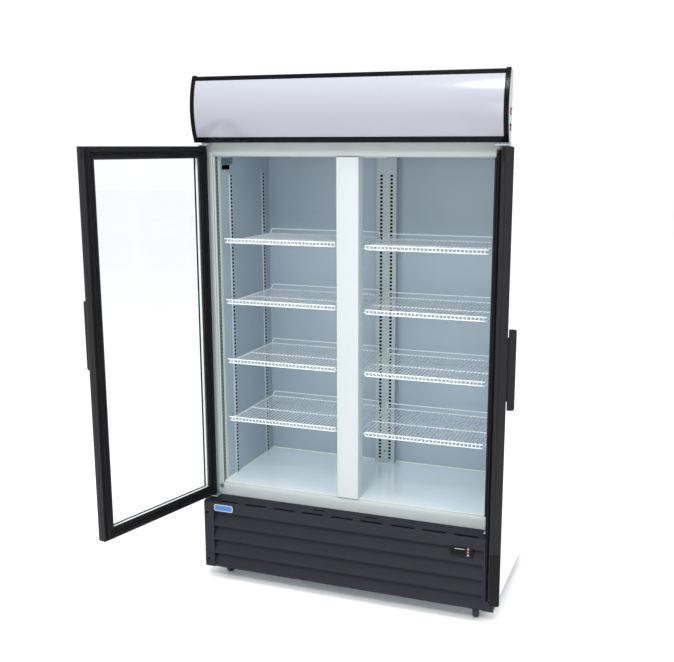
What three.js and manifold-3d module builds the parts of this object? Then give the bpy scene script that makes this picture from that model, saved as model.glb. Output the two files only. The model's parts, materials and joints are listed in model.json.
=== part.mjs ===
// Glass door merchandiser: an upright two-door display refrigerator with an illuminated sign, on casters.
// Millimetres. X to the object's right, Y to its back, Z up. The origin is on the floor, below the centre
// of the cabinet's front frame. Both doors are modelled standing open.
import * as THREE from 'three';
import { mergeVertices } from 'three/addons/utils/BufferGeometryUtils.js';
import Module from 'manifold-3d';

const wasm = await Module();
wasm.setup();

// Driving dimensions
const WIDTH = 1200;
const BODY_TOP = 2010;
const BODY_BACK = 580;
const SKIRT_BOTTOM = 51;
const GRILLE_FRONT = -66;
const LEDGE_FRONT_HEIGHT = 335;
const FRAME_BOTTOM = 347;
const OPENING_BOTTOM = 398;
const OPENING_TOP = 1720;
const OPENING_HALF = 546;
const INTERIOR_BACK = 491;
const SIGN_BOTTOM = 1772;
const SIGN_TOP = 2015;
const SIGN_FRONT = -50;
const SIGN_BULGE = 26;
const DOOR_WIDTH = 596.5;
const DOOR_THICKNESS = 35;
const DOOR_BOTTOM = 354.5;
const DOOR_TOP = 1759;
const DOOR_EDGE_GAP = 2;
const GASKET_SPACE = 10.5;
const HINGE_FROM_EDGE = 12;
const HINGE_FORWARD = 28;
const LEFT_DOOR_OPEN_DEG = 104.3;
const RIGHT_DOOR_OPEN_DEG = 101.9;
const LEFT_SHELF_HEIGHTS = [1404, 1161, 918, 676];
const RIGHT_SHELF_HEIGHTS = [1398, 1153, 911, 670];
const WHEEL_RADIUS = 25;

// Shared clearances and sheet gauges
const GAP = 0.3;
const SHEET = 1.2;
const HALF = WIDTH / 2;
const FRAME_DEPTH = 12;
const CASING_FRONT = FRAME_DEPTH + GAP;
const LINER_X = OPENING_HALF + GAP;
const FLOOR_TOP = OPENING_BOTTOM + 2;

const PAINTED = { color: 0xe9ebec, roughness: 0.4, metalness: 0.1 };
const CHARCOAL = { color: 0x3c3c42, roughness: 0.55, metalness: 0.3 };
const FRAME_GREY = { color: 0xc3cac9, roughness: 0.45, metalness: 0.1 };
const LINER_GREY = { color: 0xa4b2bd, roughness: 0.4, metalness: 0.3 };
const STEEL = { color: 0xb9bec2, roughness: 0.3, metalness: 0.9 };
const BLACK_ALUMINIUM = { color: 0x2b2b2f, roughness: 0.4, metalness: 0.6 };
const BLACK_PLASTIC = { color: 0x18181a, roughness: 0.5, metalness: 0 };
const GLASS = { color: 0xdff0ee, roughness: 0.05, metalness: 0, transparent: true, opacity: 0.3 };
const RUBBER = { color: 0x1b1b1d, roughness: 0.8, metalness: 0 };
const WIRE_WHITE = { color: 0xf2f4f5, roughness: 0.35, metalness: 0 };
const LENS = { color: 0xd6d8e4, roughness: 0.25, metalness: 0 };
const FOAM = { color: 0xe4d9a8, roughness: 0.9, metalness: 0 };
const RED = { color: 0xc92a2a, roughness: 0.35, metalness: 0 };
const WHITE_PLASTIC = { color: 0xf0f0ee, roughness: 0.4, metalness: 0 };
const LAMP_WHITE = { color: 0xf7f9ff, roughness: 0.3, metalness: 0 };

const merchandiser = new THREE.Group();

// Helpers: a node, plain solids, and joining or cutting of solids
function node(name, geometry, finish, parent = merchandiser) {
  const mesh = new THREE.Mesh(geometry, new THREE.MeshStandardMaterial(finish));
  mesh.name = name;
  parent.add(mesh);
  return mesh;
}

function box(x0, x1, y0, y1, z0, z1) {
  const size = [Math.abs(x1 - x0), y1 - y0, z1 - z0];
  return new THREE.BoxGeometry(...size).translate((x0 + x1) / 2, (y0 + y1) / 2, (z0 + z1) / 2);
}

function rod(radius, length, axis, x, y, z, sides = 16) {
  const geometry = new THREE.CylinderGeometry(radius, radius, length, sides);
  if (axis === 'z') geometry.rotateX(Math.PI / 2);
  if (axis === 'x') geometry.rotateZ(Math.PI / 2);
  return geometry.translate(x, y, z);
}

function toSolid(geometry) {
  const bare = geometry.clone();
  bare.deleteAttribute('normal');
  bare.deleteAttribute('uv');
  const merged = mergeVertices(bare, 1e-4);
  return new wasm.Manifold(new wasm.Mesh({
    numProp: 3,
    vertProperties: new Float32Array(merged.attributes.position.array),
    triVerts: new Uint32Array(merged.index.array),
  }));
}

function toGeometry(solid) {
  const mesh = solid.getMesh();
  const geometry = new THREE.BufferGeometry();
  geometry.setAttribute('position', new THREE.BufferAttribute(new Float32Array(mesh.vertProperties), 3));
  geometry.setIndex(new THREE.BufferAttribute(new Uint32Array(mesh.triVerts), 1));
  geometry.computeVertexNormals();
  return geometry;
}

function join(geometries) {
  return toGeometry(geometries.map(toSolid).reduce((whole, next) => whole.add(next)));
}

function cut(geometry, cutters) {
  return toGeometry(cutters.map(toSolid).reduce((left, next) => left.subtract(next), toSolid(geometry)));
}

// A flat plate in the XZ plane from y0 to y1, with rectangular holes; each rectangle is [x0, x1, z0, z1]
function uprightPlate(outline, holes, y0, y1) {
  const plate = box(outline[0], outline[1], y0, y1, outline[2], outline[3]);
  return cut(plate, holes.map(([x0, x1, z0, z1]) => box(x0, x1, y0 - 5, y1 + 5, z0, z1)));
}

// A section in the YZ plane, given as [y, z] points, drawn out along X from x0 to x1
function alongX(points, x0, x1) {
  const shape = new THREE.Shape(points.map(([y, z]) => new THREE.Vector2(y, z)));
  const geometry = new THREE.ExtrudeGeometry(shape, { depth: x1 - x0, bevelEnabled: false });
  return geometry.rotateX(Math.PI / 2).rotateZ(Math.PI / 2).translate(x0, 0, 0);
}

// Cabinet: casing, foam, liner, floor, ceiling and front frame
node('outer_casing', join([
  box(-HALF, -HALF + SHEET, CASING_FRONT, BODY_BACK, SKIRT_BOTTOM, BODY_TOP),
  box(HALF - SHEET, HALF, CASING_FRONT, BODY_BACK, SKIRT_BOTTOM, BODY_TOP),
  box(-HALF, HALF, CASING_FRONT, BODY_BACK, BODY_TOP - SHEET, BODY_TOP),
  box(-HALF, HALF, BODY_BACK - SHEET, BODY_BACK, FRAME_BOTTOM, BODY_TOP),
]), PAINTED);

const FOAM_HALF = HALF - SHEET - GAP;
const FOAM_BOTTOM = FRAME_BOTTOM + 2;
const CHAMBER_FLOOR = OPENING_TOP + 2;
const CHAMBER_TOP = 1955;
const HEADER_DEPTH = 62;
const FOAM_INNER_X = LINER_X + SHEET + GAP;
const FOAM_INNER_BACK = INTERIOR_BACK + SHEET + GAP;
node('foam_insulation', cut(
  box(-FOAM_HALF, FOAM_HALF, CASING_FRONT, BODY_BACK - SHEET - GAP, FOAM_BOTTOM, BODY_TOP - SHEET - GAP),
  [
    box(-FOAM_INNER_X, FOAM_INNER_X, 0, FOAM_INNER_BACK, FLOOR_TOP - SHEET - GAP, CHAMBER_FLOOR),
    box(-FOAM_INNER_X, FOAM_INNER_X, HEADER_DEPTH, FOAM_INNER_BACK, CHAMBER_FLOOR - 1, CHAMBER_TOP),
  ],
), FOAM);

// The liner is one folded sheet with four pressed ribs that carry the shelf clips
const RIB_DEPTH = 5;
const RIB_WIDTH = 24;
const RIB_CENTRES_Y = [128, 427];
const RIB_TOP = 1655;
const LINER_FRONT = CASING_FRONT + 1.2;
const LINER_BOTTOM = FLOOR_TOP + GAP;
const LINER_TOP = CHAMBER_TOP - GAP;
const linerSheets = cut(
  box(-LINER_X - SHEET, LINER_X + SHEET, LINER_FRONT, INTERIOR_BACK + SHEET, LINER_BOTTOM, LINER_TOP),
  [
    box(-LINER_X, LINER_X, 0, INTERIOR_BACK, 0, LINER_TOP + 5),
    box(-HALF, HALF, 0, HEADER_DEPTH + GAP, CHAMBER_FLOOR - GAP, LINER_TOP + 5),
  ],
);
const linerRibs = [];
for (const side of [-1, 1]) {
  for (const y of RIB_CENTRES_Y) {
    linerRibs.push(box(side * (LINER_X - RIB_DEPTH), side * (LINER_X + SHEET / 2),
      y - RIB_WIDTH / 2, y + RIB_WIDTH / 2, LINER_BOTTOM + 2, RIB_TOP));
  }
}
node('interior_liner', join([linerSheets, ...linerRibs]), LINER_GREY);

node('floor_pan', box(-LINER_X - SHEET, LINER_X + SHEET, CASING_FRONT, INTERIOR_BACK + SHEET,
  FLOOR_TOP - SHEET, FLOOR_TOP), STEEL);

const FRAME_HOLE_HALF = 552;
const JAMB_STRIP_INNER = 538;
node('front_frame', uprightPlate(
  [-HALF, HALF, FRAME_BOTTOM, BODY_TOP],
  [[-FRAME_HOLE_HALF, FRAME_HOLE_HALF, OPENING_BOTTOM, OPENING_TOP]],
  0, FRAME_DEPTH,
), FRAME_GREY);

for (const [name, side] of [['led_strip_left', -1], ['led_strip_right', 1]]) {
  node(name, box(side * (FRAME_HOLE_HALF - GAP), side * JAMB_STRIP_INNER, 1, FRAME_DEPTH - GAP,
    OPENING_BOTTOM + GAP, OPENING_TOP - GAP), LAMP_WHITE);
}

const MULLION_HALF = 44;
const MULLION_FRONT = 0.5;
const MULLION_DEPTH = 58;
const MULLION_WALL = 3;
const POST_BOTTOM = FLOOR_TOP + GAP;
const POST_TOP = OPENING_TOP - GAP;
node('centre_mullion', cut(join([
  box(-MULLION_HALF, MULLION_HALF, MULLION_FRONT, MULLION_DEPTH, POST_BOTTOM, POST_TOP),
  box(-RIB_WIDTH / 2, RIB_WIDTH / 2, MULLION_DEPTH - 1, MULLION_DEPTH + RIB_DEPTH, POST_BOTTOM, POST_TOP),
]), [
  box(-MULLION_HALF + MULLION_WALL, MULLION_HALF - MULLION_WALL, MULLION_FRONT + MULLION_WALL,
    MULLION_DEPTH - MULLION_WALL, POST_BOTTOM - 5, POST_TOP + 5),
]), PAINTED);

const PILLAR_X = 4.5;
const PILLAR_HALF = 43;
const PILLAR_FRONT = 457;
const PILLAR_WALL = 2;
node('rear_pillar', cut(
  box(PILLAR_X - PILLAR_HALF, PILLAR_X + PILLAR_HALF, PILLAR_FRONT, INTERIOR_BACK - GAP, POST_BOTTOM, POST_TOP),
  [box(PILLAR_X - PILLAR_HALF + PILLAR_WALL, PILLAR_X + PILLAR_HALF - PILLAR_WALL, PILLAR_FRONT + PILLAR_WALL,
    INTERIOR_BACK + 5, POST_BOTTOM - 5, POST_TOP + 5)],
), LINER_GREY);

// Refrigeration in the roof: the ceiling panel carries the evaporator fan motor on a bridge
const EVAP_FAN = { x: 0, y: 190, radius: 75, hub: 17, z: 1738, depth: 16 };
const CEILING = { bottom: OPENING_TOP + GAP, top: OPENING_TOP + GAP + SHEET };
const RETURN_SLOT = { half: 420, front: 452, back: 472 };
const FAN_MOTOR = { radius: 20, length: 40 };
const BRIDGE = {
  half: EVAP_FAN.radius + 22,
  front: EVAP_FAN.y - 8,
  back: EVAP_FAN.y + 8,
  strap: 3,
  top: EVAP_FAN.z + EVAP_FAN.depth / 2 + 14,
};
const bridgeFoot = CEILING.top - 0.5;
const motorCentreZ = EVAP_FAN.z + EVAP_FAN.depth / 2 + 1 + FAN_MOTOR.length / 2;
node('ceiling_panel', join([
  cut(box(-OPENING_HALF, OPENING_HALF, CASING_FRONT + 1, INTERIOR_BACK - GAP, CEILING.bottom, CEILING.top), [
    rod(EVAP_FAN.radius + 6, 10, 'z', EVAP_FAN.x, EVAP_FAN.y, CEILING.top, 32),
    box(-RETURN_SLOT.half, RETURN_SLOT.half, RETURN_SLOT.front, RETURN_SLOT.back,
      CEILING.bottom - 5, CEILING.top + 5),
  ]),
  box(-BRIDGE.half, -BRIDGE.half + BRIDGE.strap, BRIDGE.front, BRIDGE.back, bridgeFoot, BRIDGE.top),
  box(BRIDGE.half - BRIDGE.strap, BRIDGE.half, BRIDGE.front, BRIDGE.back, bridgeFoot, BRIDGE.top),
  box(-BRIDGE.half, BRIDGE.half, BRIDGE.front, BRIDGE.back, BRIDGE.top - BRIDGE.strap, BRIDGE.top),
  rod(FAN_MOTOR.radius, FAN_MOTOR.length, 'z', EVAP_FAN.x, EVAP_FAN.y, motorCentreZ),
]), PAINTED);

const FAN_BLADE = { count: 5, thickness: 2, pitchAngle: 0.5, rootInHub: 4, chordToHub: 1.7 };
function fanWheel(radius, hubRadius, depth) {
  const pieces = [rod(hubRadius, depth, 'y', 0, 0, 0, 20)];
  const length = radius - hubRadius + FAN_BLADE.rootInHub;
  for (let i = 0; i < FAN_BLADE.count; i += 1) {
    const blade = new THREE.BoxGeometry(length, FAN_BLADE.thickness, hubRadius * FAN_BLADE.chordToHub);
    blade.rotateX(FAN_BLADE.pitchAngle);
    blade.translate(radius - length / 2, 0, 0);
    blade.rotateY((i * 2 * Math.PI) / FAN_BLADE.count);
    pieces.push(blade);
  }
  return join(pieces);
}

const evaporatorFan = node('evaporator_fan', fanWheel(EVAP_FAN.radius, EVAP_FAN.hub, EVAP_FAN.depth),
  BLACK_PLASTIC);
evaporatorFan.rotation.x = Math.PI / 2;
evaporatorFan.position.set(EVAP_FAN.x, EVAP_FAN.y, EVAP_FAN.z);

const EVAPORATOR = { half: 360, front: 310, back: 400, bottom: 1765, tank: 14 };
node('evaporator', join([
  box(-EVAPORATOR.half, EVAPORATOR.half, EVAPORATOR.front, EVAPORATOR.back,
    EVAPORATOR.bottom, CHAMBER_TOP - GAP),
  box(-EVAPORATOR.half - EVAPORATOR.tank, EVAPORATOR.half + EVAPORATOR.tank,
    EVAPORATOR.front + EVAPORATOR.tank, EVAPORATOR.back - EVAPORATOR.tank,
    EVAPORATOR.bottom + EVAPORATOR.tank, CHAMBER_TOP - EVAPORATOR.tank),
]), STEEL);

// Sign: a bowed lens in a bowed black frame, on a housing with silver sides, a lamp bar and two switches
const SIGN_CENTRE_Z = (SIGN_TOP + SIGN_BOTTOM) / 2;
const SIGN_CHORD = SIGN_TOP - SIGN_BOTTOM;
const SIGN_RADIUS = (SIGN_CHORD ** 2 / 4 + SIGN_BULGE ** 2) / (2 * SIGN_BULGE);
const SIGN_AXIS_Y = SIGN_FRONT - SIGN_BULGE + SIGN_RADIUS;
const SIGN_FRAME_BAND = 10;
const SIGN_CAP_WIDTH = 17;
const SIGN_CAP_RISE = 4;
const SIGN_HALF = 603.5;
const SIGN_WINDOW = { bottom: SIGN_BOTTOM + 20, top: SIGN_TOP - 16 };

function signArc(radius, z0, z1, steps) {
  const points = [];
  for (let i = 0; i <= steps; i += 1) {
    const z = z0 + ((z1 - z0) * i) / steps;
    points.push([SIGN_AXIS_Y - Math.sqrt(radius ** 2 - (z - SIGN_CENTRE_Z) ** 2), z]);
  }
  return points;
}

function signBand(outerInset, innerInset, z0, z1, x0, x1) {
  const outer = signArc(SIGN_RADIUS - outerInset, z0, z1, 12);
  const inner = signArc(SIGN_RADIUS - innerInset, z0, z1, 12).reverse();
  return alongX([...outer, ...inner], x0, x1);
}

const SIGN_WINDOW_HALF = SIGN_HALF - SIGN_CAP_WIDTH;
node('sign_frame', join([
  signBand(1, SIGN_FRAME_BAND, SIGN_BOTTOM, SIGN_WINDOW.bottom, -SIGN_WINDOW_HALF - 1, SIGN_WINDOW_HALF + 1),
  signBand(1, SIGN_FRAME_BAND, SIGN_WINDOW.top, SIGN_TOP, -SIGN_WINDOW_HALF - 1, SIGN_WINDOW_HALF + 1),
  signBand(0, SIGN_FRAME_BAND, SIGN_BOTTOM, SIGN_TOP + SIGN_CAP_RISE, -SIGN_HALF, -SIGN_WINDOW_HALF),
  signBand(0, SIGN_FRAME_BAND, SIGN_BOTTOM, SIGN_TOP + SIGN_CAP_RISE, SIGN_WINDOW_HALF, SIGN_HALF),
]), BLACK_PLASTIC);
node('sign_lens', signBand(2, 5, SIGN_WINDOW.bottom + GAP, SIGN_WINDOW.top - GAP,
  -SIGN_WINDOW_HALF + GAP, SIGN_WINDOW_HALF - GAP), LENS);

// Two rocker switches sit in one bezel on the right side of the sign
const SWITCH_Y = -16;
const SWITCH_HEIGHTS = [1876, 1823];
const BEZEL = { halfY: 8, halfZ: 12 };
const ROCKER = { halfY: 5.5, halfZ: 9 };
const HOUSING_BACK = -GAP;
const HOUSING_SHEET = 2;
const HOUSING_SIDE = 4;
const signFront = signArc(SIGN_RADIUS - SIGN_FRAME_BAND - GAP, SIGN_BOTTOM, SIGN_TOP, 12);
const housingSection = [...signFront, [HOUSING_BACK, SIGN_TOP], [HOUSING_BACK, SIGN_BOTTOM]];
const housingBlock = alongX(housingSection, -HALF, HALF);
node('sign_housing', cut(housingBlock, [
  box(-HALF + HOUSING_SIDE, HALF - HOUSING_SIDE, -120, HOUSING_BACK - HOUSING_SHEET,
    SIGN_BOTTOM + HOUSING_SHEET, SIGN_TOP - HOUSING_SHEET),
  ...SWITCH_HEIGHTS.map((z) => box(HALF - 10, HALF + 10, SWITCH_Y - BEZEL.halfY, SWITCH_Y + BEZEL.halfY,
    z - BEZEL.halfZ, z + BEZEL.halfZ)),
]), FRAME_GREY);
const SIGN_LAMP = { half: 540, front: -16, halfHeight: 16 };
node('sign_lamp', box(-SIGN_LAMP.half, SIGN_LAMP.half, SIGN_LAMP.front, HOUSING_BACK - HOUSING_SHEET - GAP,
  SIGN_CENTRE_Z - SIGN_LAMP.halfHeight, SIGN_CENTRE_Z + SIGN_LAMP.halfHeight), LAMP_WHITE);

const CARRIER_X = HALF - HOUSING_SIDE - GAP;
const CARRIER = { sheet: 3, front: SWITCH_Y - 12, back: -4, overlap: 20 };
const BEZEL_FACE = HALF + 2;
const bezelBlocks = [box(CARRIER_X - CARRIER.sheet, CARRIER_X, CARRIER.front, CARRIER.back,
  SWITCH_HEIGHTS[1] - CARRIER.overlap, SWITCH_HEIGHTS[0] + CARRIER.overlap)];
const rockerWells = [];
for (const z of SWITCH_HEIGHTS) {
  bezelBlocks.push(box(CARRIER_X - 1, BEZEL_FACE, SWITCH_Y - BEZEL.halfY + GAP, SWITCH_Y + BEZEL.halfY - GAP,
    z - BEZEL.halfZ + GAP, z + BEZEL.halfZ - GAP));
  rockerWells.push(box(CARRIER_X - 20, BEZEL_FACE + 5, SWITCH_Y - ROCKER.halfY, SWITCH_Y + ROCKER.halfY,
    z - ROCKER.halfZ, z + ROCKER.halfZ));
}
node('switch_bezel', cut(join(bezelBlocks), rockerWells), BLACK_PLASTIC);

// A rocker is a shallow V in section, pivoting on a level line through its bezel
const ROCKER_PIVOT_X = HALF - 1;
const ROCKER_TILT = THREE.MathUtils.degToRad(8);
const ROCKER_SECTION = { back: -4, ends: 5.5, middle: 2.6, half: ROCKER.halfZ - 1.2 };
SWITCH_HEIGHTS.forEach((z, index) => {
  const section = new THREE.Shape([
    new THREE.Vector2(ROCKER_SECTION.back, -ROCKER_SECTION.half),
    new THREE.Vector2(ROCKER_SECTION.ends, -ROCKER_SECTION.half),
    new THREE.Vector2(ROCKER_SECTION.middle, 0),
    new THREE.Vector2(ROCKER_SECTION.ends, ROCKER_SECTION.half),
    new THREE.Vector2(ROCKER_SECTION.back, ROCKER_SECTION.half),
  ]);
  const depth = 2 * (ROCKER.halfY - GAP);
  const geometry = new THREE.ExtrudeGeometry(section, { depth, bevelEnabled: false });
  geometry.rotateX(Math.PI / 2).translate(0, depth / 2, 0);
  const rocker = node(index === 0 ? 'rocker_sign_light' : 'rocker_cabinet_light', geometry, RED);
  rocker.rotation.y = ROCKER_TILT;
  rocker.position.set(ROCKER_PIVOT_X, SWITCH_Y, z);
});

// Hinge plates with fixed pins, above and below each door
const PIN_RADIUS = 5;
const PIN_BORE = PIN_RADIUS + GAP;
const PIN_REACH = 14;
const HINGE_X = HALF - DOOR_EDGE_GAP - HINGE_FROM_EDGE;
const TOP_PLATE = { bottom: DOOR_TOP + 3, top: DOOR_TOP + 6 };
const BOTTOM_PLATE = { bottom: DOOR_BOTTOM - 6.2, top: DOOR_BOTTOM - 3.2 };
const HINGE_PLATE = { outerInset: 2, innerInset: 46, front: -40, tab: 2.2, tabRise: 8 };
for (const [label, side] of [['left', -1], ['right', 1]]) {
  const outer = side * (HALF - HINGE_PLATE.outerInset);
  const inner = side * (HALF - HINGE_PLATE.innerInset);
  const pinX = side * HINGE_X;
  node(`hinge_plate_top_${label}`, join([
    box(outer, inner, HINGE_PLATE.front, -GAP, TOP_PLATE.bottom, TOP_PLATE.top),
    box(outer, inner, -GAP - HINGE_PLATE.tab, -GAP, TOP_PLATE.bottom, SIGN_BOTTOM - 1),
    rod(PIN_RADIUS, TOP_PLATE.top - DOOR_TOP + PIN_REACH, 'z', pinX, -HINGE_FORWARD,
      (TOP_PLATE.top + DOOR_TOP - PIN_REACH) / 2),
  ]), STEEL);
  node(`hinge_plate_bottom_${label}`, join([
    box(outer, inner, HINGE_PLATE.front, -GAP, BOTTOM_PLATE.bottom, BOTTOM_PLATE.top),
    box(outer, inner, -GAP - HINGE_PLATE.tab, -GAP, BOTTOM_PLATE.bottom, DOOR_BOTTOM + HINGE_PLATE.tabRise),
    rod(PIN_RADIUS, DOOR_BOTTOM + PIN_REACH - BOTTOM_PLATE.bottom, 'z', pinX, -HINGE_FORWARD,
      (DOOR_BOTTOM + PIN_REACH + BOTTOM_PLATE.bottom) / 2),
  ]), STEEL);
}

// Doors, in their own frame: origin on the hinge pin, closed, x towards the free edge
const STILE = 41;
const GLAZING_REBATE = 8;
const GLAZING_LIP = 3;
const GLAZING_DEPTH = 18.6;
const PANE = 4;
const GASKET_INSET = 9;
const GASKET_WIDTH = 12;
const DOOR_INNER_Y = HINGE_FORWARD - GASKET_SPACE;
const DOOR_OUTER_Y = DOOR_INNER_Y - DOOR_THICKNESS;
const REBATE_OUTER_Y = DOOR_OUTER_Y + GLAZING_LIP;
const REBATE_INNER_Y = REBATE_OUTER_Y + GLAZING_DEPTH;
const DOOR_X0 = -HINGE_FROM_EDGE;
const DOOR_X1 = DOOR_X0 + DOOR_WIDTH;
const HANDLE = {
  bottom: 984, top: 1232, reach: 25, finX: DOOR_X1 - 14.5, fin: 4, foot: 17, footThickness: 3, notch: 27,
};

function inset(margin) {
  return [DOOR_X0 + margin, DOOR_X1 - margin, DOOR_BOTTOM + margin, DOOR_TOP - margin];
}

function buildDoor(label, side, openDegrees) {
  const door = new THREE.Group();
  door.position.set(side * HINGE_X, -HINGE_FORWARD, 0);
  door.rotation.z = THREE.MathUtils.degToRad(side * openDegrees);
  merchandiser.add(door);
  const mirrored = (geometry) => {
    if (side < 0) return geometry;
    const copy = geometry.index ? geometry.toNonIndexed() : geometry.clone();
    copy.scale(-1, 1, 1);
    const positions = copy.attributes.position;
    for (let i = 0; i < positions.count; i += 3) {
      const corner = [0, 1, 2].map((k) => new THREE.Vector3().fromBufferAttribute(positions, i + k));
      positions.setXYZ(i + 1, ...corner[2]);
      positions.setXYZ(i + 2, ...corner[1]);
    }
    copy.computeVertexNormals();
    return copy;
  };
  const [rebateX0, rebateX1, rebateZ0, rebateZ1] = inset(STILE - GLAZING_REBATE);
  const frameSolid = cut(uprightPlate(inset(0), [inset(STILE)], DOOR_OUTER_Y, DOOR_INNER_Y), [
    box(rebateX0, rebateX1, REBATE_OUTER_Y, REBATE_INNER_Y, rebateZ0, rebateZ1),
    rod(PIN_BORE, 2 * PIN_REACH + 2, 'z', 0, 0, DOOR_TOP),
    rod(PIN_BORE, 2 * PIN_REACH + 2, 'z', 0, 0, DOOR_BOTTOM),
  ]);
  node(`door_frame_${label}`, mirrored(frameSolid), BLACK_ALUMINIUM, door);
  const [x0, x1, z0, z1] = inset(STILE - GLAZING_REBATE + GAP);
  const outerPaneY = REBATE_OUTER_Y + GAP;
  const innerPaneY = REBATE_INNER_Y - GAP - PANE;
  node(`outer_pane_${label}`, mirrored(box(x0, x1, outerPaneY, outerPaneY + PANE, z0, z1)), GLASS, door);
  node(`inner_pane_${label}`, mirrored(box(x0, x1, innerPaneY, innerPaneY + PANE, z0, z1)), GLASS, door);
  const gasketThickness = GASKET_SPACE - 2 * GAP;
  node(`door_gasket_${label}`, mirrored(uprightPlate(
    inset(GASKET_INSET), [inset(GASKET_INSET + GASKET_WIDTH)],
    DOOR_INNER_Y + GAP, DOOR_INNER_Y + GAP + gasketThickness,
  )), RUBBER, door);
  const footFace = DOOR_OUTER_Y - GAP;
  node(`door_handle_${label}`, mirrored(join([
    box(HANDLE.finX - HANDLE.foot, HANDLE.finX, footFace - HANDLE.footThickness, footFace,
      HANDLE.bottom + HANDLE.notch, HANDLE.top - HANDLE.notch),
    box(HANDLE.finX - HANDLE.fin, HANDLE.finX, footFace - HANDLE.reach, footFace - 2,
      HANDLE.bottom, HANDLE.top),
  ])), BLACK_ALUMINIUM, door);
}
buildDoor('left', -1, LEFT_DOOR_OPEN_DEG);
buildDoor('right', 1, RIGHT_DOOR_OPEN_DEG);

// Wire shelves: a deck of front-to-back wires, a front rail standing above it and a raised stop at the rear.
// The deck runs in behind the centre mullion, so its inner front corner is cut away.
const SHELF = { inner: 17, outer: 530, front: 30, back: 446, wire: 5, pitch: 38 };
const SHELF_NOTCH = { x: 58, y: 64 };
const SHELF_RAIL = { rise: 15, thickness: 4.6 };
const SHELF_STOP = { rise: 22, inset: 4, thickness: 4.6 };
function wireShelf(side, railTop) {
  const deckTop = railTop - SHELF_RAIL.rise;
  const deckBottom = deckTop - SHELF.wire;
  const deckPiece = (x0, x1, y0, y1, spare) => box(side * x0, side * x1, y0, y1,
    deckBottom - spare, deckTop + spare);
  const middle = (SHELF.front + SHELF.back) / 2;
  const bays = [
    [SHELF.front + SHELF.wire, middle - SHELF.wire / 2],
    [middle + SHELF.wire / 2, SHELF.back - SHELF.wire],
  ];
  const wireCount = Math.round((SHELF.outer - SHELF_NOTCH.x - SHELF.wire) / SHELF.pitch);
  const pitch = (SHELF.outer - SHELF_NOTCH.x - SHELF.wire) / wireCount;
  const windows = [deckPiece(0, SHELF_NOTCH.x, 0, SHELF_NOTCH.y, 5)];
  for (const [y0, y1] of bays) {
    const innerFront = Math.max(y0, SHELF_NOTCH.y + SHELF.wire);
    windows.push(deckPiece(SHELF.inner + SHELF.wire, SHELF_NOTCH.x, innerFront, y1, 5));
    for (let i = 0; i < wireCount; i += 1) {
      const left = SHELF_NOTCH.x + SHELF.wire + i * pitch;
      windows.push(deckPiece(left, left + pitch - SHELF.wire, y0, y1, 5));
    }
  }
  const deck = cut(deckPiece(SHELF.inner, SHELF.outer, SHELF.front, SHELF.back, 0), windows);
  const rail = uprightPlate([side * SHELF_NOTCH.x, side * SHELF.outer, deckBottom, railTop],
    [[side * (SHELF_NOTCH.x + SHELF.wire), side * (SHELF.outer - SHELF.wire), deckTop, railTop - SHELF.wire]],
    SHELF.front, SHELF.front + SHELF_RAIL.thickness);
  const stopTop = deckTop + SHELF_STOP.rise;
  const stopX0 = SHELF.inner + SHELF_STOP.inset;
  const stopX1 = SHELF.outer - SHELF_STOP.inset;
  const stop = uprightPlate([side * stopX0, side * stopX1, deckBottom, stopTop],
    [[side * (stopX0 + SHELF.wire), side * (stopX1 - SHELF.wire), deckTop, stopTop - SHELF.wire]],
    SHELF.back - SHELF_STOP.thickness, SHELF.back);
  return join([deck, rail, stop]);
}
LEFT_SHELF_HEIGHTS.forEach((railTop, i) => {
  node(`shelf_left_${i + 1}`, wireShelf(-1, railTop), WIRE_WHITE);
});
RIGHT_SHELF_HEIGHTS.forEach((railTop, i) => {
  node(`shelf_right_${i + 1}`, wireShelf(1, railTop), WIRE_WHITE);
});

// Base: tray, louvred front cover with a slotted ledge, rear grille and power inlet
const TRAY = { half: 597, front: -48, back: BODY_BACK - 2, bottom: 74, top: 76 };
const CASTER_PAD = { half: 29, thickness: 3 };
const SWIVEL = { x: 530, front: 0, back: 505 };
const casterPlaces = [
  ['front_left', -SWIVEL.x, SWIVEL.front, 1],
  ['front_right', SWIVEL.x, SWIVEL.front, -1],
  ['rear_left', -SWIVEL.x, SWIVEL.back, -1],
  ['rear_right', SWIVEL.x, SWIVEL.back, -1],
];
const PAD_BOTTOM = TRAY.bottom - CASTER_PAD.thickness;
node('base_tray', join([
  box(-TRAY.half, TRAY.half, TRAY.front, TRAY.back, TRAY.bottom, TRAY.top),
  ...casterPlaces.map(([, x, y]) => box(x - CASTER_PAD.half, x + CASTER_PAD.half,
    y - CASTER_PAD.half, y + CASTER_PAD.half, PAD_BOTTOM, TRAY.bottom + 1)),
]), STEEL);

const GRILLE_HALF = 603.5;
const GRILLE_MARGIN = 41;
const GRILLE_SHEET = 1.6;
const LOUVRE_TOP = 292;
const LOUVRE_COUNT = 4;
const LOUVRE_PITCH = (LOUVRE_TOP - SKIRT_BOTTOM - 1) / LOUVRE_COUNT;
const LOUVRE_RECESS = 14;
const LOUVRE_SHEET = 1.8;
const LEDGE_BACK = -GAP;
const CONTROL = { x0: 433, x1: 521, z0: 257, z1: 296 };
const LEDGE_SLOTS = { eachSide: 4, pitch: 124, half: 47, front: -60, back: -55 };
const SHORT_SLOTS = { centres: [-113, 106], half: 26, front: -26, back: -22 };
const grillePieces = [
  box(-GRILLE_HALF, GRILLE_HALF, GRILLE_FRONT, GRILLE_FRONT + GRILLE_SHEET, LOUVRE_TOP, LEDGE_FRONT_HEIGHT),
  alongX([
    [GRILLE_FRONT, LEDGE_FRONT_HEIGHT - GRILLE_SHEET],
    [LEDGE_BACK, FRAME_BOTTOM - GRILLE_SHEET],
    [LEDGE_BACK, FRAME_BOTTOM],
    [GRILLE_FRONT, LEDGE_FRONT_HEIGHT],
  ], -GRILLE_HALF, GRILLE_HALF),
];
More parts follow.
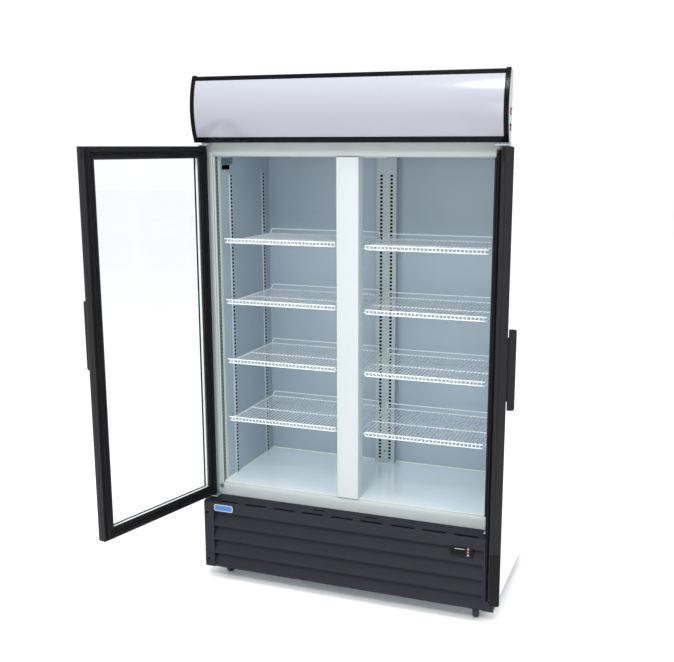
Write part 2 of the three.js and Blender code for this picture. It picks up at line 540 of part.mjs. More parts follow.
for (const side of [-1, 1]) {
  const cheek = side * (GRILLE_HALF - GRILLE_MARGIN);
  const outer = side * GRILLE_HALF;
  const inner = side * (GRILLE_HALF - GRILLE_SHEET);
  grillePieces.push(box(cheek, outer, GRILLE_FRONT, GRILLE_FRONT + GRILLE_SHEET, SKIRT_BOTTOM, LEDGE_FRONT_HEIGHT));
  const returnSection = [
    [GRILLE_FRONT, SKIRT_BOTTOM],
    [FRAME_DEPTH, SKIRT_BOTTOM],
    [FRAME_DEPTH, FRAME_BOTTOM - GAP],
    [LEDGE_BACK, FRAME_BOTTOM - GAP],
    [GRILLE_FRONT, LEDGE_FRONT_HEIGHT],
  ];
  grillePieces.push(alongX(returnSection, Math.min(outer, inner), Math.max(outer, inner)));
  grillePieces.push(box(cheek, cheek + side * GRILLE_SHEET, GRILLE_FRONT + 0.5,
    GRILLE_FRONT + LOUVRE_RECESS + 2, SKIRT_BOTTOM, LOUVRE_TOP + 1));
}
const louvreEnd = GRILLE_HALF - GRILLE_MARGIN + 0.5;
for (let i = 0; i < LOUVRE_COUNT; i += 1) {
  const level = LOUVRE_TOP - i * LOUVRE_PITCH;
  const lip = level + 1 - LOUVRE_PITCH;
  grillePieces.push(alongX([
    [GRILLE_FRONT + LOUVRE_RECESS, level + 1],
    [GRILLE_FRONT + 0.5, lip],
    [GRILLE_FRONT + 0.5 + LOUVRE_SHEET, lip],
    [GRILLE_FRONT + LOUVRE_RECESS + LOUVRE_SHEET, level + 1],
  ], -louvreEnd, louvreEnd));
  grillePieces.push(box(-louvreEnd, louvreEnd, GRILLE_FRONT + 0.8,
    GRILLE_FRONT + LOUVRE_RECESS + LOUVRE_SHEET, level, level + 1.4));
}
const slotCutters = [];
const addLedgeSlot = (x, slot) => {
  slotCutters.push(box(x - slot.half, x + slot.half, slot.front, slot.back,
    LOUVRE_TOP + 8, FRAME_BOTTOM + 5));
};
for (let i = -LEDGE_SLOTS.eachSide; i <= LEDGE_SLOTS.eachSide; i += 1) {
  addLedgeSlot(i * LEDGE_SLOTS.pitch, LEDGE_SLOTS);
}
SHORT_SLOTS.centres.forEach((x) => addLedgeSlot(x, SHORT_SLOTS));
slotCutters.push(box(CONTROL.x0, CONTROL.x1, GRILLE_FRONT - 5, TRAY.front, CONTROL.z0, CONTROL.z1));
node('front_grille', cut(join(grillePieces), slotCutters), CHARCOAL);

const CONTROL_FACE = GRILLE_FRONT + 1;
const CONTROL_BACK = -36;
const BUTTON = { x: 503, radius: 4, length: 4, proud: 1.5, wellDepth: 6, zs: [289, 277, 265] };
const BUTTON_NAMES = ['button_up', 'button_set', 'button_down'];
node('controller_housing', cut(
  box(CONTROL.x0 + GAP, CONTROL.x1 - GAP, CONTROL_FACE, CONTROL_BACK, CONTROL.z0 + GAP, CONTROL.z1 - GAP),
  BUTTON.zs.map((z) => rod(BUTTON.radius + GAP, 2 * BUTTON.wellDepth, 'y', BUTTON.x, CONTROL_FACE, z)),
), BLACK_PLASTIC);
BUTTON.zs.forEach((z, i) => {
  node(BUTTON_NAMES[i],
    rod(BUTTON.radius, BUTTON.length, 'y', BUTTON.x, CONTROL_FACE - BUTTON.proud + BUTTON.length / 2, z),
    i === 1 ? RED : WHITE_PLASTIC);
});

const REAR_SHEET_FRONT = BODY_BACK - SHEET;
const INLET = { x0: -500, x1: -452, z0: 110, z1: 140, socketX: 10, socketZ: 6, flangeX: 6, flangeZ: 5 };
const REAR_SLOTS = { count: 7, bottom: 110, pitch: 30, height: 9, inner: 20, outer: 360 };
const rearSlots = [[INLET.x0, INLET.x1, INLET.z0, INLET.z1]];
for (let i = 0; i < REAR_SLOTS.count; i += 1) {
  const z0 = REAR_SLOTS.bottom + i * REAR_SLOTS.pitch;
  const z1 = z0 + REAR_SLOTS.height;
  rearSlots.push([-REAR_SLOTS.outer, -REAR_SLOTS.inner, z0, z1]);
  rearSlots.push([REAR_SLOTS.inner, REAR_SLOTS.outer, z0, z1]);
}
node('rear_grille', uprightPlate([-HALF + SHEET + GAP, HALF - SHEET - GAP, SKIRT_BOTTOM, FRAME_BOTTOM - GAP],
  rearSlots, REAR_SHEET_FRONT, BODY_BACK), STEEL);
node('power_inlet', cut(join([
  box(INLET.x0 + GAP, INLET.x1 - GAP, BODY_BACK - 20, BODY_BACK + 1, INLET.z0 + GAP, INLET.z1 - GAP),
  box(INLET.x0 - INLET.flangeX, INLET.x1 + INLET.flangeX, BODY_BACK + GAP, BODY_BACK + 2,
    INLET.z0 - INLET.flangeZ, INLET.z1 + INLET.flangeZ),
]), [box(INLET.x0 + INLET.socketX, INLET.x1 - INLET.socketX, BODY_BACK - 12, BODY_BACK + 5,
  INLET.z0 + INLET.socketZ, INLET.z1 - INLET.socketZ)]), BLACK_PLASTIC);

// Condensing unit on the tray: compressor, condenser with fan motor, and the fan
const COMPRESSOR = { x: 280, y: 330, radius: 85, bottom: TRAY.top + GAP, top: 285, crown: 60 };
const COMPRESSOR_FOOT = { radius: 105, rise: 4 };
const DOME_STEPS = 6;
const domePoints = [
  new THREE.Vector2(0, COMPRESSOR.bottom),
  new THREE.Vector2(COMPRESSOR_FOOT.radius, COMPRESSOR.bottom),
  new THREE.Vector2(COMPRESSOR_FOOT.radius, COMPRESSOR.bottom + COMPRESSOR_FOOT.rise),
  new THREE.Vector2(COMPRESSOR.radius, COMPRESSOR.bottom + 2 * COMPRESSOR_FOOT.rise),
];
for (let i = 0; i < DOME_STEPS; i += 1) {
  const angle = (i * Math.PI) / (2 * DOME_STEPS);
  domePoints.push(new THREE.Vector2(COMPRESSOR.radius * Math.cos(angle),
    COMPRESSOR.top - COMPRESSOR.crown * (1 - Math.sin(angle))));
}
domePoints.push(new THREE.Vector2(0, COMPRESSOR.top));
node('compressor', new THREE.LatheGeometry(domePoints, 24).rotateX(Math.PI / 2)
  .translate(COMPRESSOR.x, COMPRESSOR.y, 0), BLACK_PLASTIC);

const COND = { x: -250, z: 200, half: 160, front: -10, back: 40, rise: 125 };
const COND_FAN = { radius: 105, hub: 24, depth: 22 };
const COND_LEFT = COND.x - COND.half;
const COND_RIGHT = COND.x + COND.half;
const FAN_Y = COND.back + 24;
const COND_MOTOR = { front: FAN_Y + COND_FAN.depth / 2 + 1, radius: 32, length: 46 };
const COND_STRAP = { sheet: 3, half: 12, back: COND_MOTOR.front + 14 };
const strapZ = [COND.z - COND_STRAP.half, COND.z + COND_STRAP.half];
node('condenser', join([
  box(COND_LEFT, COND_RIGHT, COND.front, COND.back, TRAY.top + GAP, COND.z + COND.rise),
  box(COND_LEFT, COND_LEFT + COND_STRAP.sheet, COND.back - 1, COND_STRAP.back, ...strapZ),
  box(COND_RIGHT - COND_STRAP.sheet, COND_RIGHT, COND.back - 1, COND_STRAP.back, ...strapZ),
  box(COND_LEFT, COND_RIGHT, COND_STRAP.back - COND_STRAP.sheet, COND_STRAP.back, ...strapZ),
  rod(COND_MOTOR.radius, COND_MOTOR.length, 'y', COND.x, COND_MOTOR.front + COND_MOTOR.length / 2, COND.z),
]), STEEL);
const condenserFan = node('condenser_fan',
  fanWheel(COND_FAN.radius, COND_FAN.hub, COND_FAN.depth), BLACK_PLASTIC);
condenserFan.position.set(COND.x, FAN_Y, COND.z);

// Casters: a swivelling fork with a fixed axle, and a wheel
const SWIVEL_OFFSET = 18;
const FORK = { top: PAD_BOTTOM - GAP, crown: 66, cheekX: 13, cheek: 2.5, end: 12, axle: 4, swivelRadius: 20 };
const WHEEL = { half: 11, sides: 28, bore: 4.3, shoulder: 3, chamfer: 2.5 };
for (const [label, x, y, trail] of casterPlaces) {
  const axleY = y + trail * SWIVEL_OFFSET;
  const cheekFrom = Math.min(y, axleY) - FORK.end;
  const cheekTo = Math.max(y, axleY) + FORK.end;
  const cheeks = [-1, 1].map((side) => {
    const inner = x + side * FORK.cheekX;
    return box(inner, inner + side * FORK.cheek, cheekFrom, cheekTo, WHEEL_RADIUS - 8, FORK.crown);
  });
  node(`caster_fork_${label}`, join([
    rod(FORK.swivelRadius, FORK.top - FORK.crown + 3, 'z', x, y, (FORK.top + FORK.crown - 3) / 2, 20),
    box(x - FORK.cheekX - FORK.cheek, x + FORK.cheekX + FORK.cheek, cheekFrom, cheekTo,
      FORK.crown - 4, FORK.crown - 1),
    ...cheeks,
    rod(FORK.axle, 2 * FORK.cheekX + 1, 'x', x, axleY, WHEEL_RADIUS, 12),
  ]), STEEL);
  const tread = WHEEL_RADIUS / Math.cos(Math.PI / WHEEL.sides);
  const wheelProfile = [
    new THREE.Vector2(WHEEL.bore, -WHEEL.half),
    new THREE.Vector2(tread - WHEEL.chamfer, -WHEEL.half),
    new THREE.Vector2(tread, -WHEEL.half + WHEEL.shoulder),
    new THREE.Vector2(tread, WHEEL.half - WHEEL.shoulder),
    new THREE.Vector2(tread - WHEEL.chamfer, WHEEL.half),
    new THREE.Vector2(WHEEL.bore, WHEEL.half),
    new THREE.Vector2(WHEEL.bore, -WHEEL.half),
  ];
  const wheelGeometry = new THREE.LatheGeometry(wheelProfile, WHEEL.sides);
  wheelGeometry.rotateY(Math.PI / WHEEL.sides).rotateZ(Math.PI / 2);
  node(`caster_wheel_${label}`, wheelGeometry, RUBBER).position.set(x, axleY, WHEEL_RADIUS);
}

export default merchandiser;
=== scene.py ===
"""Looks for the glass door merchandiser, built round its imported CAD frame.

Metres, Z up, X to the object's right, Y to its back. Dimensions named in millimetres are
multiplied by MM. Door pieces are built closed, on the hinge line, and then swung open.
"""
import json
import math

import bmesh
import bpy
from mathutils import Matrix, Vector


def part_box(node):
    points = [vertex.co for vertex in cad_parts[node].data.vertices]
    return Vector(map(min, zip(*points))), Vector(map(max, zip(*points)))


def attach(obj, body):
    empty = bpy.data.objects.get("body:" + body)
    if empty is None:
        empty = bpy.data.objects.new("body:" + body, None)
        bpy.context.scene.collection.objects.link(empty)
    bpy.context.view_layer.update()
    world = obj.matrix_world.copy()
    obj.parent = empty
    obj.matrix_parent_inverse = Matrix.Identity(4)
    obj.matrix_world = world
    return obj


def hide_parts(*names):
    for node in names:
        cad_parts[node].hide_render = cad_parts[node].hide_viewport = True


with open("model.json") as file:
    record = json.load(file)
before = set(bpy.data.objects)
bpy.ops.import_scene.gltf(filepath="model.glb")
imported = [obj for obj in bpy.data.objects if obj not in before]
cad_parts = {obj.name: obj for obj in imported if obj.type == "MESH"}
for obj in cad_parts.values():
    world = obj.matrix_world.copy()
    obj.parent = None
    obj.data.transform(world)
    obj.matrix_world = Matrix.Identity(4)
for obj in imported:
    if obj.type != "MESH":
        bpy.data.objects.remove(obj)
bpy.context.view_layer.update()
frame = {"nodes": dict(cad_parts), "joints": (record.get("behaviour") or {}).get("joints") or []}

MM = 0.001
SIDES = {"left": -1, "right": 1}
JOINTS = {joint["name"]: joint for joint in frame["joints"]}


# ---------------------------------------------------------------- materials

# Most of a noise texture's values lie between these two.
NOISE_LOW, NOISE_HIGH = 0.3, 0.7


def node_tree(name):
    """A new material with its node tree and its main shader."""
    material = bpy.data.materials.new(name)
    material.use_nodes = True
    tree = material.node_tree
    return material, tree, tree.nodes["Principled BSDF"]


def add_node(tree, kind, **values):
    """A node with its sockets or its settings filled in by name."""
    node = tree.nodes.new(kind)
    for key, value in values.items():
        if key in node.inputs:
            node.inputs[key].default_value = value
        else:
            setattr(node, key, value)
    return node


def object_space(tree, scale=(1, 1, 1)):
    """Object coordinates, scaled along each axis."""
    coordinates = add_node(tree, "ShaderNodeTexCoord")
    mapping = add_node(tree, "ShaderNodeMapping")
    mapping.inputs["Scale"].default_value = scale
    tree.links.new(coordinates.outputs["Object"], mapping.inputs["Vector"])
    return mapping.outputs["Vector"]


def noise(tree, space, scale, detail=4.0, roughness=0.55):
    """A noise value that averages one half."""
    node = add_node(tree, "ShaderNodeTexNoise", Scale=scale, Detail=detail, Roughness=roughness)
    tree.links.new(space, node.inputs["Vector"])
    return node.outputs["Fac"]


def ramp(tree, source, low, high, start=0.0, end=1.0):
    """A colour that runs from low to high as the source goes from start to end."""
    node = add_node(tree, "ShaderNodeValToRGB")
    node.color_ramp.elements[0].position = start
    node.color_ramp.elements[0].color = (*low, 1)
    node.color_ramp.elements[1].position = end
    node.color_ramp.elements[1].color = (*high, 1)
    tree.links.new(source, node.inputs["Fac"])
    return node.outputs["Color"]


def spread(tree, source, low, high, start=NOISE_LOW, end=NOISE_HIGH):
    """A number that runs from low to high as the source goes from start to end."""
    node = add_node(tree, "ShaderNodeMapRange")
    node.inputs["From Min"].default_value = start
    node.inputs["From Max"].default_value = end
    node.inputs["To Min"].default_value = low
    node.inputs["To Max"].default_value = high
    tree.links.new(source, node.inputs["Value"])
    return node.outputs["Result"]


def shaded(colour, amount):
    """A colour made lighter or darker by a share of itself."""
    return tuple(min(1.0, max(0.0, channel * (1 + amount))) for channel in colour)


def surface(name, colour, roughness, metallic=0.0, mottle=0.05, patch=6.0, stretch=(1, 1, 1),
            grain=900.0, bump=0.12, depth=0.1 * MM, rough_spread=0.06, **sockets):
    """A material whose tone drifts over large patches and whose gloss and relief follow a fine grain."""
    material, tree, shader = node_tree(name)
    space = object_space(tree)
    fine_space = object_space(tree, stretch)
    tone = noise(tree, space, patch)
    tree.links.new(ramp(tree, tone, shaded(colour, -mottle), shaded(colour, mottle), NOISE_LOW, NOISE_HIGH),
                   shader.inputs["Base Color"])
    fine = noise(tree, fine_space, grain, detail=3.0)
    tree.links.new(spread(tree, fine, roughness - rough_spread, roughness + rough_spread),
                   shader.inputs["Roughness"])
    relief = add_node(tree, "ShaderNodeBump", Strength=bump, Distance=depth)
    tree.links.new(fine, relief.inputs["Height"])
    tree.links.new(relief.outputs["Normal"], shader.inputs["Normal"])
    shader.inputs["Metallic"].default_value = metallic
    for socket, value in sockets.items():
        shader.inputs[socket.replace("_", " ")].default_value = value
    return material


GRAZING_POWER, GRAZING_GLOSS = 5.0, 0.8


def glass_material(name, tint, straight_on):
    """Clear pane under a faint reflection that starts at straight_on and grows towards grazing angles."""
    material, tree, shader = node_tree(name)
    output = tree.nodes["Material Output"]
    clear = add_node(tree, "ShaderNodeBsdfTransparent")
    clear.inputs["Color"].default_value = (*tint, 1)
    haze = noise(tree, object_space(tree, (3, 3, 1)), 5.0)
    tree.links.new(spread(tree, haze, 0.0, 0.05), shader.inputs["Roughness"])
    shader.inputs["Base Color"].default_value = (0.9, 0.97, 1.0, 1)
    shader.inputs["Metallic"].default_value = 1.0
    edge_on = add_node(tree, "ShaderNodeLayerWeight", Blend=0.5)
    steep = add_node(tree, "ShaderNodeMath", operation="POWER")
    steep.inputs[1].default_value = GRAZING_POWER
    tree.links.new(edge_on.outputs["Facing"], steep.inputs[0])
    gloss = add_node(tree, "ShaderNodeMath", operation="MULTIPLY_ADD")
    gloss.inputs[1].default_value = GRAZING_GLOSS
    gloss.inputs[2].default_value = straight_on
    tree.links.new(steep.outputs["Value"], gloss.inputs[0])
    mix = add_node(tree, "ShaderNodeMixShader")
    tree.links.new(gloss.outputs["Value"], mix.inputs["Fac"])
    tree.links.new(clear.outputs["BSDF"], mix.inputs[1])
    tree.links.new(shader.outputs["BSDF"], mix.inputs[2])
    tree.links.new(mix.outputs["Shader"], output.inputs["Surface"])
    return material


def lens_with_painted_glow(name, bottom, top, low_z, high_z):
    """Opal acrylic with a painted glow: paler towards its top edge, as if lit by the lamp behind it."""
    material, tree, shader = node_tree(name)
    space = object_space(tree)
    parts = add_node(tree, "ShaderNodeSeparateXYZ")
    tree.links.new(space, parts.inputs["Vector"])
    height = spread(tree, parts.outputs["Z"], 0.0, 1.0, low_z, high_z)
    cloud = noise(tree, space, 2.5)
    drift = add_node(tree, "ShaderNodeMath", operation="MULTIPLY_ADD")
    drift.inputs[1].default_value = 0.12
    tree.links.new(cloud, drift.inputs[0])
    tree.links.new(height, drift.inputs[2])
    tree.links.new(ramp(tree, drift.outputs["Value"], bottom, top), shader.inputs["Base Color"])
    speckle = noise(tree, space, 700.0)
    tree.links.new(spread(tree, speckle, 0.1, 0.16), shader.inputs["Roughness"])
    shader.inputs["Coat Weight"].default_value = 0.6
    shader.inputs["Coat Roughness"].default_value = 0.03
    return material


# Brushed and drawn finishes have their grain stretched along the drawing direction.
ALONG_X = (0.02, 1, 1)
ALONG_Z = (1, 1, 0.02)

WHITE_PAINT = surface("white_paint", (0.77, 0.78, 0.79), 0.32, mottle=0.02, bump=0.1, grain=500.0)
FRAME_GREY = surface("frame_grey", (0.37, 0.41, 0.415), 0.4, mottle=0.03, patch=3.0)
TRIM_PALE = surface("trim_pale", (0.44, 0.51, 0.46), 0.42, mottle=0.03)
LINER = surface("liner_blue_grey", (0.33, 0.41, 0.475), 0.33, 0.1, mottle=0.05, patch=2.0, grain=300.0,
                bump=0.08)
PERFORATED = surface("standard_metal", (0.40, 0.47, 0.51), 0.38, 0.1, mottle=0.04)
# Near-black for plates set behind slots, where they stand in for the shade inside them: painted shade. It
# also colours the dark label plate on the wall.
SHADE_AND_LABEL_BLACK = surface("painted_shade_and_label_black", (0.003, 0.004, 0.005), 0.8, mottle=0.2, Specular_IOR_Level=0.02)
FLOOR_STEEL = surface("floor_steel", (0.84, 0.92, 0.96), 0.13, 0.33, mottle=0.04, patch=3.0, stretch=ALONG_X,
                      grain=700.0, bump=0.04, rough_spread=0.04)
SEALANT = surface("sealant", (0.72, 0.74, 0.58), 0.5, mottle=0.08, patch=40.0, bump=0.3)
MULLION_WHITE = surface("mullion_white", (0.46, 0.51, 0.52), 0.36, mottle=0.015, patch=3.0)
DOOR_BLACK = surface("door_black", (0.011, 0.011, 0.013), 0.36, mottle=0.12, patch=14.0, stretch=ALONG_Z,
                     grain=1200.0, bump=0.1, rough_spread=0.08, Specular_IOR_Level=0.16)
GASKET = surface("gasket_black", (0.004, 0.004, 0.005), 0.55, mottle=0.2, grain=1500.0, bump=0.2,
                 Specular_IOR_Level=0.15)
SIGN_BLACK = surface("sign_black", (0.002, 0.002, 0.003), 0.2, mottle=0.15, patch=10.0, bump=0.03,
                     rough_spread=0.03, Specular_IOR_Level=0.1)
SIGN_BACK = surface("silver_panel", (0.36, 0.385, 0.385), 0.42, 0.1, mottle=0.03, stretch=ALONG_Z)
CHARCOAL = surface("charcoal_powder", (0.0145, 0.0155, 0.0225), 0.48, mottle=0.06, patch=9.0, grain=2200.0,
                   bump=0.45, depth=0.08 * MM, rough_spread=0.08, Specular_IOR_Level=0.2)
GALVANISED = surface("galvanised", (0.48, 0.57, 0.63), 0.34, 0.85, mottle=0.22, patch=160.0, grain=600.0)
WIRE_WHITE = surface("shelf_wire", (0.74, 0.79, 0.82), 0.28, mottle=0.03, patch=30.0, bump=0.15)
BLACK_PLASTIC = surface("black_plastic", (0.005, 0.005, 0.007), 0.36, mottle=0.1, grain=1600.0, bump=0.2,
                        Specular_IOR_Level=0.15)
DISPLAY = surface("display_glass", (0.003, 0.003, 0.004), 0.1, mottle=0.2, bump=0.0, rough_spread=0.02,
                  Specular_IOR_Level=0.12)
RUBBER = surface("wheel_rubber", (0.010, 0.010, 0.010), 0.62, mottle=0.25, patch=60.0, bump=0.35)
CASTER_STEEL = surface("caster_steel", (0.42, 0.44, 0.46), 0.33, 0.9, mottle=0.12, patch=80.0)
FINS = surface("aluminium_fins", (0.62, 0.64, 0.66), 0.3, 0.85, mottle=0.08, stretch=(60, 1, 1), grain=25.0,
               bump=0.8, depth=1.5 * MM)
COPPER = surface("copper_pipe", (0.62, 0.27, 0.14), 0.3, 1.0, mottle=0.15, patch=50.0)
COMPRESSOR = surface("compressor_black", (0.012, 0.012, 0.013), 0.22, mottle=0.1, bump=0.3, grain=300.0)
FOAM = surface("foam", (0.74, 0.66, 0.38), 0.9, mottle=0.1, patch=50.0, grain=300.0, bump=0.8)
LED_METAL = surface("led_channel", (0.10, 0.11, 0.125), 0.4, 0.2, mottle=0.4, patch=12.0, stretch=ALONG_Z)
LED_CHIP = surface("led_chip", (0.30, 0.22, 0.19), 0.35, mottle=0.05)
LAMP = surface("lamp_diffuser", (0.90, 0.92, 0.95), 0.3, mottle=0.02)
RED = surface("red_plastic", (0.60, 0.02, 0.03), 0.25, mottle=0.06, Coat_Weight=0.5)
ORANGE = surface("orange_button", (0.62, 0.11, 0.05), 0.3, mottle=0.05)
PRINT_WHITE = surface("button_white", (0.34, 0.34, 0.33), 0.4, mottle=0.04)
SPACER = surface("spacer_aluminium", (0.66, 0.70, 0.68), 0.35, 0.1, mottle=0.05)
BADGE = surface("badge_blue", (0.03, 0.15, 0.42), 0.3, mottle=0.06, patch=20.0, stretch=ALONG_X)
BADGE_RIM = surface("badge_rim", (0.50, 0.54, 0.58), 0.25, 0.6, mottle=0.05)
SCREW_BLACK = surface("screw_black", (0.002, 0.002, 0.003), 0.35, mottle=0.2, Specular_IOR_Level=0.06)
SPRING_STEEL = surface("spring_steel", (0.06, 0.06, 0.07), 0.3, 0.6, mottle=0.2, patch=60.0)
DATA_PLATE = surface("data_plate", (0.085, 0.125, 0.165), 0.45, mottle=0.25, patch=140.0, bump=0.05)
GLASS = glass_material("door_glass", (0.992, 0.999, 0.999), 0.008)

# ---------------------------------------------------------------- mesh helpers


def block(x0, x1, y0, y1, z0, z1):
    """A box between two corners, its X ends in either order."""
    x0, x1 = sorted((x0, x1))
    return loft([[Vector((x, y0, z0)), Vector((x, y1, z0)), Vector((x, y1, z1)), Vector((x, y0, z1))]
                 for x in (x0, x1)])


def loft(rings, caps=True):
    """Quads between rings of equal length, with flat ends."""
    count = len(rings[0])
    points = [point for ring in rings for point in ring]
    faces = []
    for i in range(len(rings) - 1):
        for j in range(count):
            k = (j + 1) % count
            faces.append((i * count + j, i * count + k, (i + 1) * count + k, (i + 1) * count + j))
    if caps:
        faces.append(tuple(reversed(range(count))))
        faces.append(tuple(range((len(rings) - 1) * count, len(rings) * count)))
    return points, faces


def along_x(section, x0, x1):
    """A section in the YZ plane drawn out along X."""
    return loft([[Vector((x, y, z)) for y, z in section] for x in (x0, x1)])


def along_y(section, y0, y1):
    """A section in the XZ plane drawn out along Y."""
    return loft([[Vector((x, y, z)) for x, z in section] for y in (y0, y1)])


def along_z(section, z0, z1):
    """A section in the XY plane drawn out along Z."""
    return loft([[Vector((x, y, z)) for x, y in section] for z in (z0, z1)])


def around(centre, across, other, radius, sides):
    """Points evenly spaced round a centre, in the plane of two unit directions."""
    return [centre + (across * math.cos(a) + other * math.sin(a)) * radius
            for a in (2 * math.pi * i / sides for i in range(sides))]


def lathe(profile, centre, axis, sides=32):
    """Turns (distance along the axis, radius) pairs round an axis through centre."""
    axis = Vector(axis).normalized()
    across = axis.orthogonal().normalized()
    other = axis.cross(across)
    return loft([around(Vector(centre) + axis * distance, across, other, radius, sides)
                 for distance, radius in profile])


def quarter(steps=6):
    """Angles from nothing to a right angle, for a rounded edge."""
    return [math.pi / 2 * i / steps for i in range(steps + 1)]


def rounded(width, height, radius, steps=5, at=(0, 0)):
    """Outline of a rectangle with round corners, about a centre."""
    points = []
    for corner, (sx, sy) in enumerate(((1, 1), (-1, 1), (-1, -1), (1, -1))):
        for i in range(steps + 1):
            angle = math.pi / 2 * (corner + i / steps)
            points.append((sx * (width / 2 - radius) + radius * math.cos(angle) + at[0],
                           sy * (height / 2 - radius) + radius * math.sin(angle) + at[1]))
    return points


def smoothed(path, radius, steps=4):
    """A polyline with its corners rounded off."""
    points = [Vector(path[0])]
    for before, corner, after in zip(path, path[1:], path[2:]):
        before, corner, after = Vector(before), Vector(corner), Vector(after)
        reach = min(radius, (corner - before).length / 2, (after - corner).length / 2)
        start = corner + (before - corner).normalized() * reach
        end = corner + (after - corner).normalized() * reach
        for i in range(steps + 1):
            t = i / steps
            points.append(start * (1 - t) ** 2 + corner * 2 * t * (1 - t) + end * t ** 2)
    points.append(Vector(path[-1]))
    return points


def tube(path, radius, sides=8):
    """A round bar along a path, with flat ends."""
    rings = []
    across = None
    for i, point in enumerate(path):
        ahead = path[min(i + 1, len(path) - 1)] - path[max(i - 1, 0)]
        ahead.normalize()
        if across is None:
            across = ahead.orthogonal().normalized()
        across = (across - ahead * across.dot(ahead)).normalized()
        other = ahead.cross(across)
        rings.append(around(point, across, other, radius, sides))
    return loft(rings)


def rect_corners(rect, y):
    """The corners of an (x0, x1, z0, z1) rectangle that stands at a depth."""
    x0, x1, z0, z1 = rect
    return [Vector((x0, y, z0)), Vector((x1, y, z0)), Vector((x1, y, z1)), Vector((x0, y, z1))]


def mitred_frame(loops, gap=0.12 * MM):
    """Four bars round a rectangle. loops are (rectangle, y) pairs that trace the bar's section."""
    bars = []
    traced = [rect_corners(rect, y) for rect, y in loops]
    for k in range(4):
        starts, ends = [], []
        for loop in traced:
            here, there = loop[k], loop[(k + 1) % 4]
            step = (there - here).normalized() * gap
            starts.append(here + step)
            ends.append(there - step)
        bars.append(loft([starts, ends]))
    return bars


def inset(rect, margin):
    """A rectangle drawn in by a margin on all sides."""
    x0, x1, z0, z1 = rect
    return (x0 + margin, x1 - margin, z0 + margin, z1 - margin)


def perforated(columns, z0, z1, holes, hole_width, hole_height, depth):
    """A strip in the XZ plane at y 0, with rows of rectangular holes that run back to depth.

    columns is (left edge, right edge, [hole centres]); holes lists the height of each row.
    """
    left, right, centres = columns
    xs = [left]
    for centre in centres:
        xs += [centre - hole_width / 2, centre + hole_width / 2]
    xs.append(right)
    zs = [z0]
    for height in holes:
        zs += [height - hole_height / 2, height + hole_height / 2]
    zs.append(z1)
    points, faces = [], []
    index = {}
    for j, z in enumerate(zs):
        for i, x in enumerate(xs):
            for y in (0.0, depth):
                index[i, j, y] = len(points)
                points.append(Vector((x, y, z)))
    for j in range(len(zs) - 1):
        for i in range(len(xs) - 1):
            ring = [(i, j), (i + 1, j), (i + 1, j + 1), (i, j + 1)]
            is_hole = i % 2 == 1 and j % 2 == 1
            if not is_hole:
                faces.append(tuple(index[a, b, 0.0] for a, b in ring))
                faces.append(tuple(index[a, b, depth] for a, b in reversed(ring)))
                continue
            for (a, b), (c, d) in zip(ring, ring[1:] + ring[:1]):
                faces.append((index[a, b, 0.0], index[a, b, depth], index[c, d, depth], index[c, d, 0.0]))
    rim = [(i, 0) for i in range(len(xs))] + [(len(xs) - 1, j) for j in range(1, len(zs))]
    rim += [(i, len(zs) - 1) for i in range(len(xs) - 2, -1, -1)]
    rim += [(0, j) for j in range(len(zs) - 2, 0, -1)]
    for (a, b), (c, d) in zip(rim, rim[1:] + rim[:1]):
        faces.append((index[c, d, 0.0], index[c, d, depth], index[a, b, depth], index[a, b, 0.0]))
    return points, faces


def turned(solid, matrix):
    """A solid moved by a matrix."""
    points, faces = solid
    return [matrix @ Vector(point) for point in points], faces


def screw(centre, outward, radius=4 * MM):
    """A pan-head screw with a cross recess."""
    outward = Vector(outward).normalized()
    across = outward.orthogonal().normalized()
    other = outward.cross(across)
    steps, sides = 6, 32
    rings = [around(Vector(centre), across, other, radius, sides)]
    for i in range(steps + 1):
        share = 1 - i / (steps + 1)
        ring = []
        for k in range(sides):
            angle = 2 * math.pi * k / sides
            crown = 0.5 * radius * math.sqrt(max(0.0, 1 - 0.75 * share ** 2))
            near_cross = min(abs(math.cos(angle)), abs(math.sin(angle))) * share < 0.17
            if near_cross and share < 0.62:
                crown *= 0.35
            ring.append(Vector(centre) + outward * crown
                        + (across * math.cos(angle) + other * math.sin(angle)) * radius * share)
        rings.append(ring)
    return loft(rings)


def mesh_of(name, solids, matrix=None):
    """One mesh from several (points, faces) solids, with its faces turned outwards."""
    builder = bmesh.new()
    for points, faces in solids:
        made = [builder.verts.new(point) for point in points]
        for face in faces:
            builder.faces.new([made[i] for i in face])
    if matrix is not None:
        builder.transform(matrix)
    bmesh.ops.recalc_face_normals(builder, faces=builder.faces)
    mesh = bpy.data.meshes.new(name)
    builder.to_mesh(mesh)
    builder.free()
    return mesh


def placed(name, data):
    """A new object with this data, linked into the scene."""
    made = bpy.data.objects.new(name, data)
    bpy.context.scene.collection.objects.link(made)
    return made


def shade(mesh, angle=35):
    """Smooth shading that breaks at edges sharper than an angle in degrees."""
    mesh.shade_smooth()
    mesh.set_sharp_from_angle(angle=math.radians(angle))


def piece(name, solids, material, body, slot, replaces=(), bevel=0.0, smooth=35, matrix=None):
    """One object from several solids, riding on a body."""
    mesh = mesh_of(name, solids, matrix)
    made = placed(name, mesh)
    mesh.materials.append(material)
    shade(mesh, smooth)
    if bevel:
        add_bevel(made, bevel)
    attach(made, body)
    if replaces:
        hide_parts(*replaces)
    return made


def fixed(name, solids, material, slot, replaces=(), **options):
    """A piece that rides on the cabinet."""
    return piece(name, solids, material, "cabinet", slot, replaces, **options)


def add_bevel(target, width, angle=35):
    """Breaks the edges that are sharper than an angle in degrees."""
    bevel = target.modifiers.new("edges", "BEVEL")
    bevel.width = width
    bevel.segments = 2
    bevel.limit_method = "ANGLE"
    bevel.angle_limit = math.radians(angle)
    bevel.harden_normals = True


